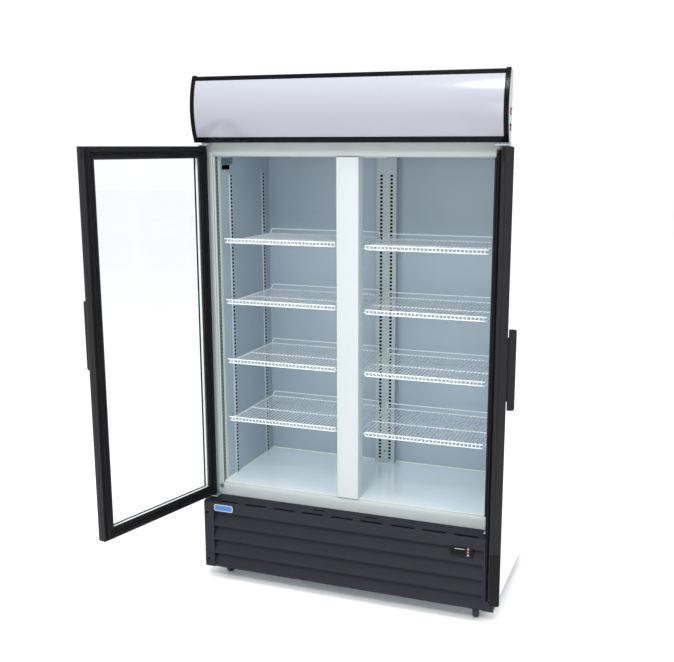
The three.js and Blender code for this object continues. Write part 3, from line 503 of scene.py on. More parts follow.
def carve(target, cutters):
    """Cuts solids out of a piece and keeps the result as its mesh."""
    cutter = placed("cutter", mesh_of("cutter", cutters))
    boolean = target.modifiers.new("carve", "BOOLEAN")
    boolean.object = cutter
    boolean.solver = "EXACT"
    graph = bpy.context.evaluated_depsgraph_get()
    result = bpy.data.meshes.new_from_object(target.evaluated_get(graph))
    target.modifiers.remove(boolean)
    target.data = result
    shade(result)
    bpy.data.objects.remove(cutter)


def refine(node, material, bevel=0.5 * MM):
    """Keeps a CAD node's shape: cleans its facets, breaks its edges and gives it a real finish."""
    target = frame["nodes"][node]
    target.data.materials.clear()
    target.data.materials.append(material)
    weld = target.modifiers.new("weld", "WELD")
    weld.merge_threshold = 0.01 * MM
    flatten = target.modifiers.new("flatten", "DECIMATE")
    flatten.decimate_type = "DISSOLVE"
    flatten.angle_limit = math.radians(0.5)
    if bevel:
        add_bevel(target, bevel)


def size_of(node):
    """A node's extent as x0, x1, y0, y1, z0, z1."""
    low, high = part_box(node)
    return low.x, high.x, low.y, high.y, low.z, high.z


def local_size(node, place):
    """A node's extent in the frame that place stands for, such as a closed door's own."""
    back = place.inverted() @ frame["nodes"][node].matrix_world
    points = [back @ vertex.co for vertex in frame["nodes"][node].data.vertices]
    spans = [(min(p[i] for p in points), max(p[i] for p in points)) for i in range(3)]
    return [value for span in spans for value in span]


# ---------------------------------------------------------------- cabinet


def build_casing():
    """Folded outer sheet with rounded long edges, a hemmed back panel and its screws."""
    x0, x1, y0, y1, z0, z1 = size_of("outer_casing")
    sheet, fold, hem = 1.2 * MM, 4 * MM, 16 * MM
    outline = [(x0, z0), (x0, z1 - fold)]
    outline += [(x0 + fold * (1 - math.cos(a)), z1 - fold * (1 - math.sin(a))) for a in quarter()[1:]]
    outline += [(-x, z) for x, z in reversed(outline)]
    inner = [(x * (1 - sheet / x1), z if z == z0 else z - sheet) for x, z in outline]
    shell = []
    for a, b in zip(range(len(outline) - 1), range(1, len(outline))):
        shell.append(along_y([outline[a], outline[b], inner[b], inner[a]], y0, y1))
    fixed("casing_shell", shell, WHITE_PAINT, "white_paint", ["outer_casing"], smooth=50)
    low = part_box("rear_grille")[1].z + 0.3 * MM
    back = (x0 + sheet, x1 - sheet, low, z1 - sheet)
    pressed = inset(back, 60 * MM)
    loops = [(back, y1 - sheet), (back, y1), (pressed, y1), (inset(pressed, 5 * MM), y1 - 0.8 * MM)]
    panel = loft([rect_corners(rect, y) for rect, y in loops])
    fixed("back_panel", [panel], WHITE_PAINT, "white_paint", smooth=10)
    edges = (x0 + hem, x1 - hem)
    spots = [(x, z) for x in (edges[0], -300 * MM, 0, 300 * MM, edges[1]) for z in (low + hem, z1 - hem)]
    spots += [(x, z * MM) for z in (750, 1100, 1450) for x in edges]
    heads = [screw((x, y1 - 0.2 * MM, z), (0, 1, 0), 3.6 * MM) for x, z in spots]
    for points, _ in heads:
        for point in points:
            point.y = min(point.y, y1 + 1.8 * MM)
    fixed("back_screws", heads, GALVANISED, "galvanised")


def build_front_frame():
    """Flat face with a rounded lip rolled into the opening, mitred at the corners."""
    x0, x1, y0, y1, z0, z1 = size_of("front_frame")
    lip_x, lip_top, lip_bottom = 10 * MM, 22 * MM, 18 * MM
    _, strip_x, _, _, strip_z0, strip_z1 = size_of("led_strip_right")
    gap = 0.3 * MM
    hole_x, hole_z0, hole_z1 = strip_x + gap, strip_z0 - gap, strip_z1 + gap
    loops = [((x0, x1, z0, z1), y0)]
    for angle in quarter(8):
        across, back = 1 - math.sin(angle), 1 - math.cos(angle)
        loops.append(((-hole_x - lip_x * across, hole_x + lip_x * across,
                       hole_z0 - lip_bottom * across, hole_z1 + lip_top * across), y0 + (y1 - y0) * back))
    loops.append(((x0, x1, z0, z1), y1))
    fixed("front_frame_face", mitred_frame(loops), FRAME_GREY, "frame_grey", ["front_frame"],
          bevel=0.3 * MM, smooth=30)


def build_jamb_lights():
    """A lip, a dark light channel on the side wall and the pale trim behind it."""
    wall = inner_wall()
    lip_back, channel_back, trim_back = 8 * MM, 26 * MM, 44 * MM
    film = 0.1 * MM
    chip_pitch = 16 * MM
    for label, side in SIDES.items():
        x0, x1, y0, y1, z0, z1 = size_of(f"led_strip_{label}")
        near, outer = side * (wall - film), side * max(abs(x0), abs(x1))
        lip = block(side * wall, outer, y0, lip_back, z0, z1)
        # The right lip is charcoal as painted shade; the left lip keeps the pale trim colour.
        lip_trim_and_shade = TRIM_PALE if label == "left" else CHARCOAL
        fixed(f"jamb_lip_{label}", [lip], lip_trim_and_shade, "lamp", [f"led_strip_{label}"], bevel=1 * MM)
        root = block(side * (wall - MM), outer, lip_back + 0.2 * MM, y1, z0, z1)
        strip = block(side * (wall - MM), near, y1, channel_back, z0, z1)
        fixed(f"led_channel_{label}", [root, strip], LED_METAL, "lamp", smooth=20)
        trim = block(side * (wall - 2 * MM), near, channel_back + 0.3 * MM, trim_back, z0, z1)
        fixed(f"jamb_trim_{label}", [trim], TRIM_PALE, "lamp", bevel=0.5 * MM)
        chips = []
        for i in range(int((z1 - z0) / chip_pitch)):
            z = z0 + (i + 0.5) * chip_pitch
            chips.append(block(side * (wall - 1.8 * MM), side * (wall - MM), lip_back + 6 * MM,
                               lip_back + 11 * MM, z - 3 * MM, z + 3 * MM))
        fixed(f"led_chips_{label}", chips, LED_CHIP, "lamp")


SLOT_PITCH = 15.2 * MM
STANDARD_TOP = 1650 * MM
SLOT_MARGIN = 5 * MM
LINER_SHEET = 1.2 * MM
RIB_DEPTH, RIB_WIDTH = 5 * MM, 24 * MM
WALL_STANDARDS_Y = (128 * MM, 427 * MM)


def inner_wall():
    """How far the liner's inner faces stand from the centre line."""
    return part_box("interior_liner")[1].x - LINER_SHEET


def slot_rows(z0, z1):
    """Heights of the slots that fit between two heights, from the lowest up."""
    count = int((z1 - z0) / SLOT_PITCH)
    return [z0 + i * SLOT_PITCH for i in range(count + 1)]


def wall_plate(name, material, y0, y1, z0, z1):
    """A thin printed plate on the left wall."""
    wall = inner_wall()
    plate = block(-wall, 0.8 * MM - wall, y0 * MM, y1 * MM, z0 * MM, z1 * MM)
    fixed(name, [plate], material, "liner_grey", bevel=0.2 * MM)


def build_liner():
    """Walls and back, with the slotted standards that carry the shelf clips."""
    x0, x1, y0, y1, z0, _ = size_of("interior_liner")
    sheet, metal = LINER_SHEET, 0.8 * MM
    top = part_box("ceiling_panel")[0].z + 200 * MM
    walls = [block(x0, x0 + sheet, y0, y1, z0, top), block(x1 - sheet, x1, y0, y1, z0, top),
             block(x0 + sheet, x1 - sheet, y1 - sheet, y1, z0, top)]
    fixed("liner_walls", walls, LINER, "liner_grey", ["interior_liner"])
    wall = inner_wall()
    face = wall - RIB_DEPTH
    foot, half = z0 + 2 * MM, RIB_WIDTH / 2
    standards, slot_shade_plates = [], []
    rows = slot_rows(z0 + 12 * MM, STANDARD_TOP - SLOT_MARGIN)
    for side in SIDES.values():
        for y in WALL_STANDARDS_Y:
            strip = perforated((-half, half, [0]), foot, STANDARD_TOP, rows, 15 * MM, 9.5 * MM, metal)
            turn = Matrix.Translation((side * face, y, 0)) @ Matrix.Rotation(-side * math.pi / 2, 4, "Z")
            standards.append(turned(strip, turn))
            for near, far in ((y - half, y - half + MM), (y + half - MM, y + half)):
                standards.append(block(side * (face + metal), side * wall, near, far, foot, STANDARD_TOP))
            standards.append(block(side * face, side * wall, y - half, y + half, STANDARD_TOP,
                                   STANDARD_TOP + 1.2 * MM))
            # Near-black plates behind the slots: painted shade seen through them.
            slot_shade_plates.append(block(side * (face + 0.9 * MM), side * (face + 1.4 * MM), y - 9 * MM, y + 9 * MM,
                               z0 + 4 * MM, STANDARD_TOP - 4 * MM))
    fixed("wall_standards", standards, PERFORATED, "liner_grey", smooth=20)
    fixed("wall_standard_slot_shade", slot_shade_plates, SHADE_AND_LABEL_BLACK, "liner_grey")
    wall_plate("data_plate", DATA_PLATE, 56, 152, 1689, 1714)
    wall_plate("data_plate_dark", SHADE_AND_LABEL_BLACK, 60, 124, 1668, 1687)


def build_rear_pillar():
    """Boxed post on the back wall with two rows of slots and one fixing screw."""
    x0, x1, y0, y1, z0, z1 = size_of("rear_pillar")
    sheet = 1.5 * MM
    rows = slot_rows(z0 + 23 * MM, STANDARD_TOP - SLOT_MARGIN)
    centre = (x0 + x1) / 2
    columns = [centre - 22 * MM, centre + 22 * MM]
    front = perforated((x0, x1, columns), z0, z1, rows, 11 * MM, 9 * MM, sheet)
    solids = [turned(front, Matrix.Translation((0, y0, 0)))]
    for x in (x0, x1 - sheet):
        solids.append(block(x, x + sheet, y0 + sheet, y1, z0, z1))
    fixed("pillar_post", solids, PERFORATED, "liner_grey", ["rear_pillar"], smooth=20)
    # Near-black plate behind the slots: painted shade seen through them.
    back = block(x0 + 3 * MM, x1 - 3 * MM, y0 + 1.7 * MM, y0 + 2.4 * MM, z0 + 12 * MM, z1 - 5 * MM)
    fixed("pillar_slot_shade", [back], SHADE_AND_LABEL_BLACK, "liner_grey")
    head = screw((centre, y0, z0 + 52 * MM), (0, -1, 0), 3.5 * MM)
    fixed("pillar_screw", [head], SCREW_BLACK, "galvanised")


def build_mullion():
    """White centre post with rounded front edges and a slotted strip on its back."""
    x0, x1, y0, y1, z0, z1 = size_of("centre_mullion")
    half, metal = RIB_WIDTH / 2, 1.2 * MM
    body_back = y1 - RIB_DEPTH
    outline = rounded(x1 - x0, body_back - y0, 4 * MM, at=(0, (y0 + body_back) / 2))
    fixed("mullion_post", [along_z(outline, z0, z1)], MULLION_WHITE, "mullion_white", ["centre_mullion"],
          smooth=40)
    rows = slot_rows(z0 + 12 * MM, STANDARD_TOP - SLOT_MARGIN)
    foot = z0 + 2 * MM
    strip = perforated((-half, half, [0]), foot, STANDARD_TOP, rows, 12 * MM, 9 * MM, metal)
    turn = Matrix.Translation((0, y1, 0)) @ Matrix.Rotation(math.pi, 4, "Z")
    sides = [block(edge * half, edge * (half - MM), body_back, y1 - metal, foot, STANDARD_TOP)
             for edge in (-1, 1)]
    fixed("mullion_standard", [turned(strip, turn)] + sides, PERFORATED, "mullion_white", smooth=20)
    # Near-black plate behind the slots: painted shade seen through them.
    back = block(-9 * MM, 9 * MM, body_back + 0.5 * MM, body_back + MM, z0 + 4 * MM, STANDARD_TOP - 4 * MM)
    fixed("mullion_slot_shade", [back], SHADE_AND_LABEL_BLACK, "mullion_white")


def build_floor():
    """Polished floor pan with a bead of sealant where it meets the walls."""
    refine("floor_pan", FLOOR_STEEL, 0.4 * MM)
    _, x1, _, y1, _, top = size_of("floor_pan")
    sheet, bead = LINER_SHEET, 3 * MM
    inner_x, back = x1 - sheet, y1 - sheet
    section = [(0, 0), (bead, 0), (bead * 0.45, bead * 0.45), (0, bead)]
    beads = [along_y([(side * (inner_x - u), top + v) for u, v in section], 14 * MM, back)
             for side in (-1, 1)]
    beads.append(along_x([(back - u, top + v) for u, v in section], -inner_x, inner_x))
    fixed("floor_sealant", beads, SEALANT, "liner_grey", bevel=0.4 * MM)


def build_ceiling():
    """Ceiling panel, and the wire guard below the evaporator fan."""
    refine("ceiling_panel", WHITE_PAINT, 0.3 * MM)
    refine("evaporator", FINS, 0.6 * MM)
    refine("evaporator_fan", BLACK_PLASTIC, 0.4 * MM)
    x, y, _ = JOINTS["evaporator_fan_spin"]["pos_m"]
    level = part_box("ceiling_panel")[0].z - 3 * MM
    bars = []
    for radius in range(24, 89, 16):
        circle = [Vector((x + radius * MM * math.cos(a), y + radius * MM * math.sin(a), level))
                  for a in (2 * math.pi * i / 48 for i in range(49))]
        bars.append(tube(circle, 1.2 * MM, 6))
    start = Vector((x, y, level + 1.6 * MM))
    for i in range(6):
        out = Vector((math.cos(math.pi / 3 * i), math.sin(math.pi / 3 * i), 0))
        bars.append(tube([start + out * 20 * MM, start + out * 92 * MM], 1.4 * MM, 6))
    fixed("ceiling_fan_guard", bars, WIRE_WHITE, "shelf_wire")


# ---------------------------------------------------------------- shelves

DECK_PITCH = 15.2 * MM
THIN, THICK, UPRIGHT = 1.5 * MM, 2.5 * MM, 2.1 * MM
STOP_END, STOP_LEAN = 3 * MM, 8 * MM
NOTCH_X, NOTCH_Y = 58 * MM, 64 * MM
RAIL_RISE = 15 * MM


def shelf_clips(side, level):
    """Bent clips on the wall standards, the pillar and the mullion, under a deck that starts at level."""
    clips = []

    def clip(x0, x1, y0, y1, low, high):
        clips.append(block(side * x0, side * x1, y0, y1, level + low * MM, level + high * MM))

    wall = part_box("interior_liner")[1].x - LINER_SHEET - RIB_DEPTH
    tip, metal = wall - 24 * MM, 1.6 * MM
    for y in WALL_STANDARDS_Y:
        clip(tip, wall, y - 4 * MM, y + 4 * MM, -1.6, 0)
        clip(wall - metal, wall, y - 4 * MM, y + 4 * MM, -18, 7)
        clip(tip, tip + metal, y - 4 * MM, y + 4 * MM, 0, 6)
    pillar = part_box("rear_pillar")[0].y
    clip(18 * MM, 26 * MM, pillar - 26 * MM, pillar, -1.6, 0)
    clip(18 * MM, 26 * MM, pillar - metal, pillar, -18, 7)
    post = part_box("centre_mullion")[1].y + 0.2 * MM
    clip(2 * MM, 12 * MM, post, post + metal, -14, 5)
    clip(2 * MM, 28 * MM, post, post + metal, -14, -1.6)
    clip(20 * MM, 28 * MM, post, post + 23.8 * MM, -1.6, 0)
    return clips


def build_shelf(label, side, number):
    """Coated wire shelf: each deck wire turns up into the front lip, with a raised stop at the rear."""
    node = f"shelf_{label}_{number}"
    x_low, x_high, front, back, z0, z1 = size_of(node)
    inner, outer = sorted((abs(x_low), abs(x_high)))
    deck = z0 + THICK
    lip = deck + RAIL_RISE
    rear = back - THICK
    wires = []

    def wire(points, radius, bend=0):
        path = [(side * x, y, z) for x, y, z in points]
        wires.append(tube(smoothed(path, bend), radius, 6 if radius == THIN else 8))

    count = round((outer - inner) / DECK_PITCH)
    for i in range(1, count):
        x = inner + (outer - inner) * i / count
        end = (x, rear, deck + THIN)
        if x < NOTCH_X:
            wire([(x, NOTCH_Y + THICK, deck + THIN), end], THIN, 4 * MM)
        else:
            wire([(x, front + THICK, lip), (x, front + THICK, deck + THIN), end], THIN, 4 * MM)
            wire([(x, front + UPRIGHT, lip), (x, front + UPRIGHT, deck)], UPRIGHT)
    wire([(NOTCH_X + 3 * MM, front + THIN, lip), (outer - 3 * MM, front + THIN, lip)], THICK)
    rim_in, rim_out, notch_in = inner + THICK, outer - THICK, NOTCH_X + THICK
    wire([(rim_in, rear, deck), (rim_in, NOTCH_Y, deck), (notch_in, NOTCH_Y, deck),
          (notch_in, front + THICK, deck), (rim_out, front + THICK, deck), (rim_out, rear, deck)],
         THICK, 12 * MM)
    wire([(rim_in, rear, deck), (rim_out, rear, deck)], THICK)
    middle = (front + back) / 2
    wire([(rim_in, middle, deck - THIN), (rim_out, middle, deck - THIN)], 2.4 * MM)
    stop, stop_in = z1 - THICK, inner + STOP_END
    wire([(stop_in, rear, deck), (stop_in, rear, stop), (outer - 2.2 * STOP_LEAN, rear, stop),
          (outer - STOP_LEAN, rear, deck)], 2 * MM, 5 * MM)
    fixed(f"shelf_wires_{label}_{number}", wires, WIRE_WHITE, "shelf_wire", [node], smooth=60)
    fixed(f"shelf_clips_{label}_{number}", shelf_clips(side, deck - THICK), CASTER_STEEL, "galvanised",
          bevel=0.4 * MM)


# ---------------------------------------------------------------- sign

SIGN_BULGE = 26 * MM
SIGN_BAND = 10 * MM
CAP_WIDTH = 17 * MM


def sign_arc(inset_depth, z0, z1, steps=40):
    """Points on the sign's bowed face, set back by a depth, as (y, z)."""
    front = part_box("sign_frame")[0].y
    low, high = (corner.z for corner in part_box("sign_housing"))
    chord = high - low
    radius = (chord ** 2 / 4 + SIGN_BULGE ** 2) / (2 * SIGN_BULGE)
    axis_y, axis_z = front + radius, (low + high) / 2
    points = []
    for i in range(steps + 1):
        z = z0 + (z1 - z0) * i / steps
        points.append((axis_y - math.sqrt((radius - inset_depth) ** 2 - (z - axis_z) ** 2), z))
    return points


def sign_bar(front_inset, back_inset, z0, z1, x0, x1, steps=40):
    """A bar of the sign between two depths behind its bowed face."""
    section = sign_arc(front_inset, z0, z1, steps) + list(reversed(sign_arc(back_inset, z0, z1, steps)))
    return along_x(section, x0, x1)


def build_sign():
    """Bowed black frame with end caps round an opal lens, and the housing with its two rockers."""
    x0, x1, _, _, low, cap_top = size_of("sign_frame")
    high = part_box("sign_housing")[1].z
    lens_x0, lens_x1, _, _, lens_low, lens_high = size_of("sign_lens")
    seam, slit = 0.1 * MM, 0.3 * MM
    caps = [sign_bar(0, SIGN_BAND, low, cap_top, x0, x0 + CAP_WIDTH - seam),
            sign_bar(0, SIGN_BAND, low, cap_top, x1 - CAP_WIDTH + seam, x1)]
    fixed("sign_end_caps", caps, SIGN_BLACK, "black_plastic", ["sign_frame"], bevel=2.2 * MM)
    rails = [sign_bar(1.2 * MM, SIGN_BAND, z0, z1, x0 + CAP_WIDTH, x1 - CAP_WIDTH, 8)
             for z0, z1 in ((low, lens_low - slit), (lens_high + slit, high))]
    fixed("sign_rails", rails, SIGN_BLACK, "black_plastic", bevel=2.6 * MM)
    # The lens pales upwards: painted glow of the lamp behind it.
    opal = lens_with_painted_glow("sign_lens", (0.28, 0.285, 0.33), (0.345, 0.36, 0.41), lens_low, lens_high)
    sheet = sign_bar(2 * MM, 5 * MM, lens_low, lens_high, lens_x0, lens_x1)
    fixed("sign_lens_sheet", [sheet], opal, "sign_lens", ["sign_lens"], bevel=0.5 * MM)
    refine("sign_housing", SIGN_BACK, 0.6 * MM)
    refine("sign_lamp", LAMP, 2 * MM)
    refine("switch_bezel", BLACK_PLASTIC, 0.8 * MM)
    for rocker in ("rocker_sign_light", "rocker_cabinet_light"):
        refine(rocker, RED, 0.7 * MM)


# ---------------------------------------------------------------- doors


def door_place(label):
    """The hinge line and the turn that takes a closed door to where it stands."""
    joint = JOINTS[f"{label}_door_hinge"]
    closing = max(joint["range_deg"], key=abs)
    x, y, _ = joint["pos_m"]
    matrix = Matrix.Translation((x, y, 0)) @ Matrix.Rotation(-math.radians(closing), 4, "Z")
    if label == "right":
        matrix = matrix @ Matrix.Diagonal((-1, 1, 1, 1))
    return matrix


# Sections as (distance in from the door's edge, depth behind the hinge line), in millimetres.
DOOR_SECTION = [(0, -12.5), (0.4, -14.4), (1.5, -16), (3.1, -17.1), (5, -17.5), (37, -17.5), (38.6, -16.8),
                (39, -14.5), (33, -14.5), (33, 4.1), (36.8, 4.1), (37.4, 6), (42, 12.5), (44.6, 15),
                (45, 16.4), (44, 17.5), (39.2, 17.5), (37.6, 16.8), (37.4, 11.8), (34.8, 11.8), (34.6, 17),
                (34, 17.5), (30.4, 17.5), (29.8, 11), (26, 11), (25.4, 17.5), (22, 17.5), (21.4, 14),
                (8.8, 14), (8.4, 17.5), (1, 17.5), (0, 16.5), (0, 8), (0.9, 7.4), (0.9, 4.6), (0, 4)]
SEAL_SECTION = [(9, 17.8), (21, 17.8), (21, 19), (18.8, 20), (20.4, 21.8), (17.8, 23.4), (19.8, 24.4),
                (19.8, 27.2), (19.4, 27.7), (10.6, 27.7), (10.2, 27.2), (10.2, 24.4), (12.2, 23.4),
                (9.6, 21.8), (11.2, 20), (9, 19)]
SPACER_SECTION = [(33.6, -10), (36.5, -10), (36.5, -5.6), (36.1, -5.2), (36.5, -4.8), (36.5, -0.4),
                  (33.6, -0.4)]


# Top of the near-black film on the right door's free edge, a painted dark reflection on its lower part.
EDGE_REFLECTION_TOP = 527 * MM


def build_door(label):
    """One door: mitred bars, a bellows seal, two panes and the spacer between them, and a handle."""
    body = f"{label}_door"
    place = door_place(label)
    x0, x1, outer, inner, low_z, high_z = local_size(f"door_frame_{label}", place)
    rect = (x0, x1, low_z, high_z)

    def bars(profile, gap=0.12 * MM):
        return mitred_frame([(inset(rect, u * MM), v * MM) for u, v in profile], gap)

    piece(f"door_bars_{label}", bars(DOOR_SECTION), DOOR_BLACK, body, "door_black", [f"door_frame_{label}"],
          matrix=place, smooth=28)
    piece(f"door_seal_{label}", bars(SEAL_SECTION, 0), GASKET, body, "gasket_black", [f"door_gasket_{label}"],
          matrix=place, smooth=28)
    piece(f"glass_spacer_{label}", bars(SPACER_SECTION, 0), SPACER, body, "door_glass", matrix=place,
          smooth=20)
    for pane in ("outer", "inner"):
        node = f"{pane}_pane_{label}"
        sheet = block(*local_size(node, place))
        glass = piece(f"{pane}_glass_{label}", [sheet], GLASS, body, "door_glass", [node], matrix=place,
                      bevel=0.6 * MM)
        glass.visible_shadow = False
    build_handle(label, body, place)
    flange = [(0, 10 * MM), (1.2 * MM, 10 * MM), (2 * MM, 9 * MM), (2 * MM, 5.4 * MM)]
    bush = [lathe(flange, (0, 0, z), (0, 0, way)) for z, way in ((low_z, -1), (high_z, 1))]
    piece(f"hinge_bushes_{label}", bush, BLACK_PLASTIC, body, "black_plastic", matrix=place)
    film = 0.25 * MM
    if label == "right":
        # A near-black film on the lower free edge: painted dark reflection.
        foot = block(x1, x1 + film, outer + 2 * MM, inner - 2 * MM, low_z + 2 * MM, EDGE_REFLECTION_TOP)
        piece("edge_painted_reflection_right", [foot], GASKET, body, "door_black", matrix=place)
    plug = rounded(10 * MM, 37 * MM, 3 * MM, at=(inner - 6 * MM, high_z - 24 * MM))
    piece(f"edge_plug_{label}", [along_x(plug, x1, x1 + film)], GASKET, body, "door_black", matrix=place)


def build_handle(label, body, place):
    """Flat fin with round outer corners on a foot that stops short of its ends."""
    x0, x1, tip, face, bottom, top = local_size(f"door_handle_{label}", place)
    fin, notch, corner = 4 * MM, 27 * MM, 7 * MM
    near = face - 2 * MM
    outline = [(near, bottom), (near, top)]
    outline += [(tip + corner * (1 - math.sin(a)), top - corner * (1 - math.cos(a))) for a in quarter()]
    outline += [(tip + corner * (1 - math.cos(a)), bottom + corner * (1 - math.sin(a))) for a in quarter()]
    plate = along_x(outline, x1 - fin, x1)
    foot = block(x0, x1 - 0.5 * MM, face - 3 * MM, face, bottom + notch, top - notch)
    piece(f"pull_handle_{label}", [plate, foot], DOOR_BLACK, body, "door_black", [f"door_handle_{label}"],
          matrix=place, bevel=0.9 * MM)
    heads = [screw(((x0 + x1 - fin) / 2, face - 3 * MM, z), (0, -1, 0), 3 * MM)
             for z in (bottom + notch + 22 * MM, top - notch - 22 * MM)]
    piece(f"handle_screws_{label}", heads, SCREW_BLACK, body, "door_black", matrix=place)


def build_closer(label, side, centre, face):
    """The closer's spring eye, with its shank running back to the frame inside the line of the shut door's
    seal.
    """
    turns, steps, ring, wire = 1.5, 24, 6 * MM, 1.4 * MM
    seal_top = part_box(f"door_frame_{label}")[0].z + 21 * MM
    middle = Vector((centre - side * 26 * MM, face - 6.5 * MM, seal_top + ring + 2 * wire))
    coil = []
    for i in range(round(turns * steps) + 1):
        angle = 2 * math.pi * i / steps
        coil.append(middle + Vector((ring * math.cos(angle), i * 2.8 * MM / steps, ring * math.sin(angle))))
    shank = [coil[-1], Vector((coil[-1].x, 0, coil[-1].z))]
    fixed(f"closer_spring_{label}", [tube(coil, wire, 8), tube(shank, wire, 8)], SPRING_STEEL, "galvanised",
          smooth=60)


def build_hinges():
    """Hinge plates with their screws and upper pins, and the closer that shows at the left door."""
    for label, side in SIDES.items():
        for level in ("top", "bottom"):
            refine(f"hinge_plate_{level}_{label}", GALVANISED, 0.6 * MM)
        x0, x1, _, y1, _, low_tab = size_of(f"hinge_plate_bottom_{label}")
        _, _, _, _, top_low, top_high = size_of(f"hinge_plate_top_{label}")
        centre = (x0 + x1) / 2
        heads = [screw((centre + dx * MM, y1 - 2.2 * MM, z), (0, -1, 0), 2.6 * MM)
                 for z in (low_tab - 8.5 * MM, top_high - 3.4 * MM) for dx in (-14, 14)]
        fixed(f"hinge_screws_{label}", heads, GALVANISED, "galvanised")
        axis = JOINTS[f"{label}_door_hinge"]["pos_m"]
        door_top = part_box(f"door_frame_{label}")[1].z
        profile = [(-6 * MM, 5 * MM), (top_low - door_top - 0.5 * MM, 5 * MM)]
        pin = lathe(profile, (axis[0], axis[1], door_top), (0, 0, 1), 20)
        fixed(f"hinge_pin_{label}", [pin], SCREW_BLACK, "black_plastic")
        if label == "left":
            build_closer(label, side, centre, y1)


# ---------------------------------------------------------------- base


LEDGE_BACK = -0.3 * MM
COVER_SHEET, COVER_MARGIN = 1.6 * MM, 41 * MM
SHOULDER_Z, SHOULDER_RADIUS = 335 * MM, 2.5 * MM
LOUVRE_TOP, LOUVRES, LOUVRE_DEPTH = 292 * MM, 4, 27 * MM


def build_ledge(x0, x1, front, z1):
    """The cover's sloping top with its rounded shoulder, its slots, and a near-black plate below them as
    painted shade in the slots.
    """
    sheet, radius = COVER_SHEET, SHOULDER_RADIUS
    slope = (z1 - SHOULDER_Z) / (LEDGE_BACK - front)
    arc = [(front + radius * (1 - math.cos(a)),
            SHOULDER_Z - radius * (1 - math.sin(a)) + slope * radius * math.sin(a)) for a in quarter()]
    top_line = [(front, LOUVRE_TOP)] + arc + [(LEDGE_BACK, z1)]
    under = [(y + sheet, z - sheet if z > SHOULDER_Z - radius else z) for y, z in top_line[:-1]]
    under.append((LEDGE_BACK, z1 - sheet))
    ledge = fixed("base_ledge", [along_x(top_line + list(reversed(under)), x0, x1)], CHARCOAL, "charcoal",
                  smooth=30)
    row = [rounded(94 * MM, 11 * MM, 5.4 * MM, 3, ((i * 124 - 4) * MM, -54 * MM)) for i in range(-4, 5)]
    row += [rounded(52 * MM, 7 * MM, 3.4 * MM, 3, (x * MM, -24 * MM)) for x in (-113, 106)]
    carve(ledge, [along_z(outline, z1 - 45 * MM, z1 + 15 * MM) for outline in row])
    # A near-black plate under the slots: painted shade seen through them.
    near, far, drop = front + 3 * MM, -3 * MM, 2.2 * MM
    low, high = (SHOULDER_Z + slope * (y - front) - drop for y in (near, far))
    section = [(near, low), (far, high), (far, high - MM), (near, low - MM)]
    fixed("ledge_slot_shade", [along_x(section, x0 + 12 * MM, x1 - 12 * MM)], SHADE_AND_LABEL_BLACK, "charcoal")
    return ledge


def build_cover_sides(x1, front, z0, z1):
    """Plain margins, folded ends and the inner cheeks that close the louvres."""
    sheet, rear, end_top = COVER_SHEET, 12 * MM, z1 - 0.3 * MM
    end = [(front + 0.2 * MM, LOUVRE_TOP), (rear, LOUVRE_TOP), (rear, end_top), (LEDGE_BACK, end_top),
           (front + SHOULDER_RADIUS, SHOULDER_Z - 0.5 * MM), (front + 0.2 * MM, SHOULDER_Z - SHOULDER_RADIUS)]
    solids = []
    for side in (-1, 1):
        edge, near = side * x1, side * (x1 - COVER_MARGIN)
        solids.append(block(near, edge - side * sheet, front, front + sheet, z0, LOUVRE_TOP))
        solids.append(block(edge - side * sheet, edge, front, rear, z0, LOUVRE_TOP))
        solids.append(along_x(end, *sorted((edge, edge - side * sheet))))
        solids.append(block(near - side * sheet, near, front + 0.6 * MM, front + LOUVRE_DEPTH + 2 * MM, z0,
                            LOUVRE_TOP))
    fixed("base_sides", solids, CHARCOAL, "charcoal", ["front_grille"], smooth=30)


def build_louvre(number, pitch, x0, x1, front):
    """One sloping blade with a rolled lower lip, and the flat strip over it."""
    sheet = COVER_SHEET
    top = LOUVRE_TOP - (number - 1) * pitch
    lip = top - pitch + 1.2 * MM
    face = [(front + LOUVRE_DEPTH, top - 0.5 * MM), (front + LOUVRE_DEPTH - 0.6 * MM, top - 3 * MM),
            (front + 0.9 * MM, lip + 7 * MM), (front + 0.15 * MM, lip + 4 * MM), (front, lip + 1.6 * MM),
            (front + 0.5 * MM, lip + 0.4 * MM), (front + 1.8 * MM, lip)]
    under = [(y + sheet, z) for y, z in face[:-1]] + [(front + 2.4 * MM, lip + 1.2 * MM)]
    blade = along_x(face + list(reversed(under)), x0, x1)
    strip = block(x0, x1, front + 1.2 * MM, front + LOUVRE_DEPTH + sheet, top - 0.5 * MM, top + 0.9 * MM)
    return (fixed(f"louvre_blade_{number}", [blade], CHARCOAL, "charcoal", smooth=30),
            fixed(f"louvre_shelf_{number}", [strip], CHARCOAL, "charcoal", smooth=30))


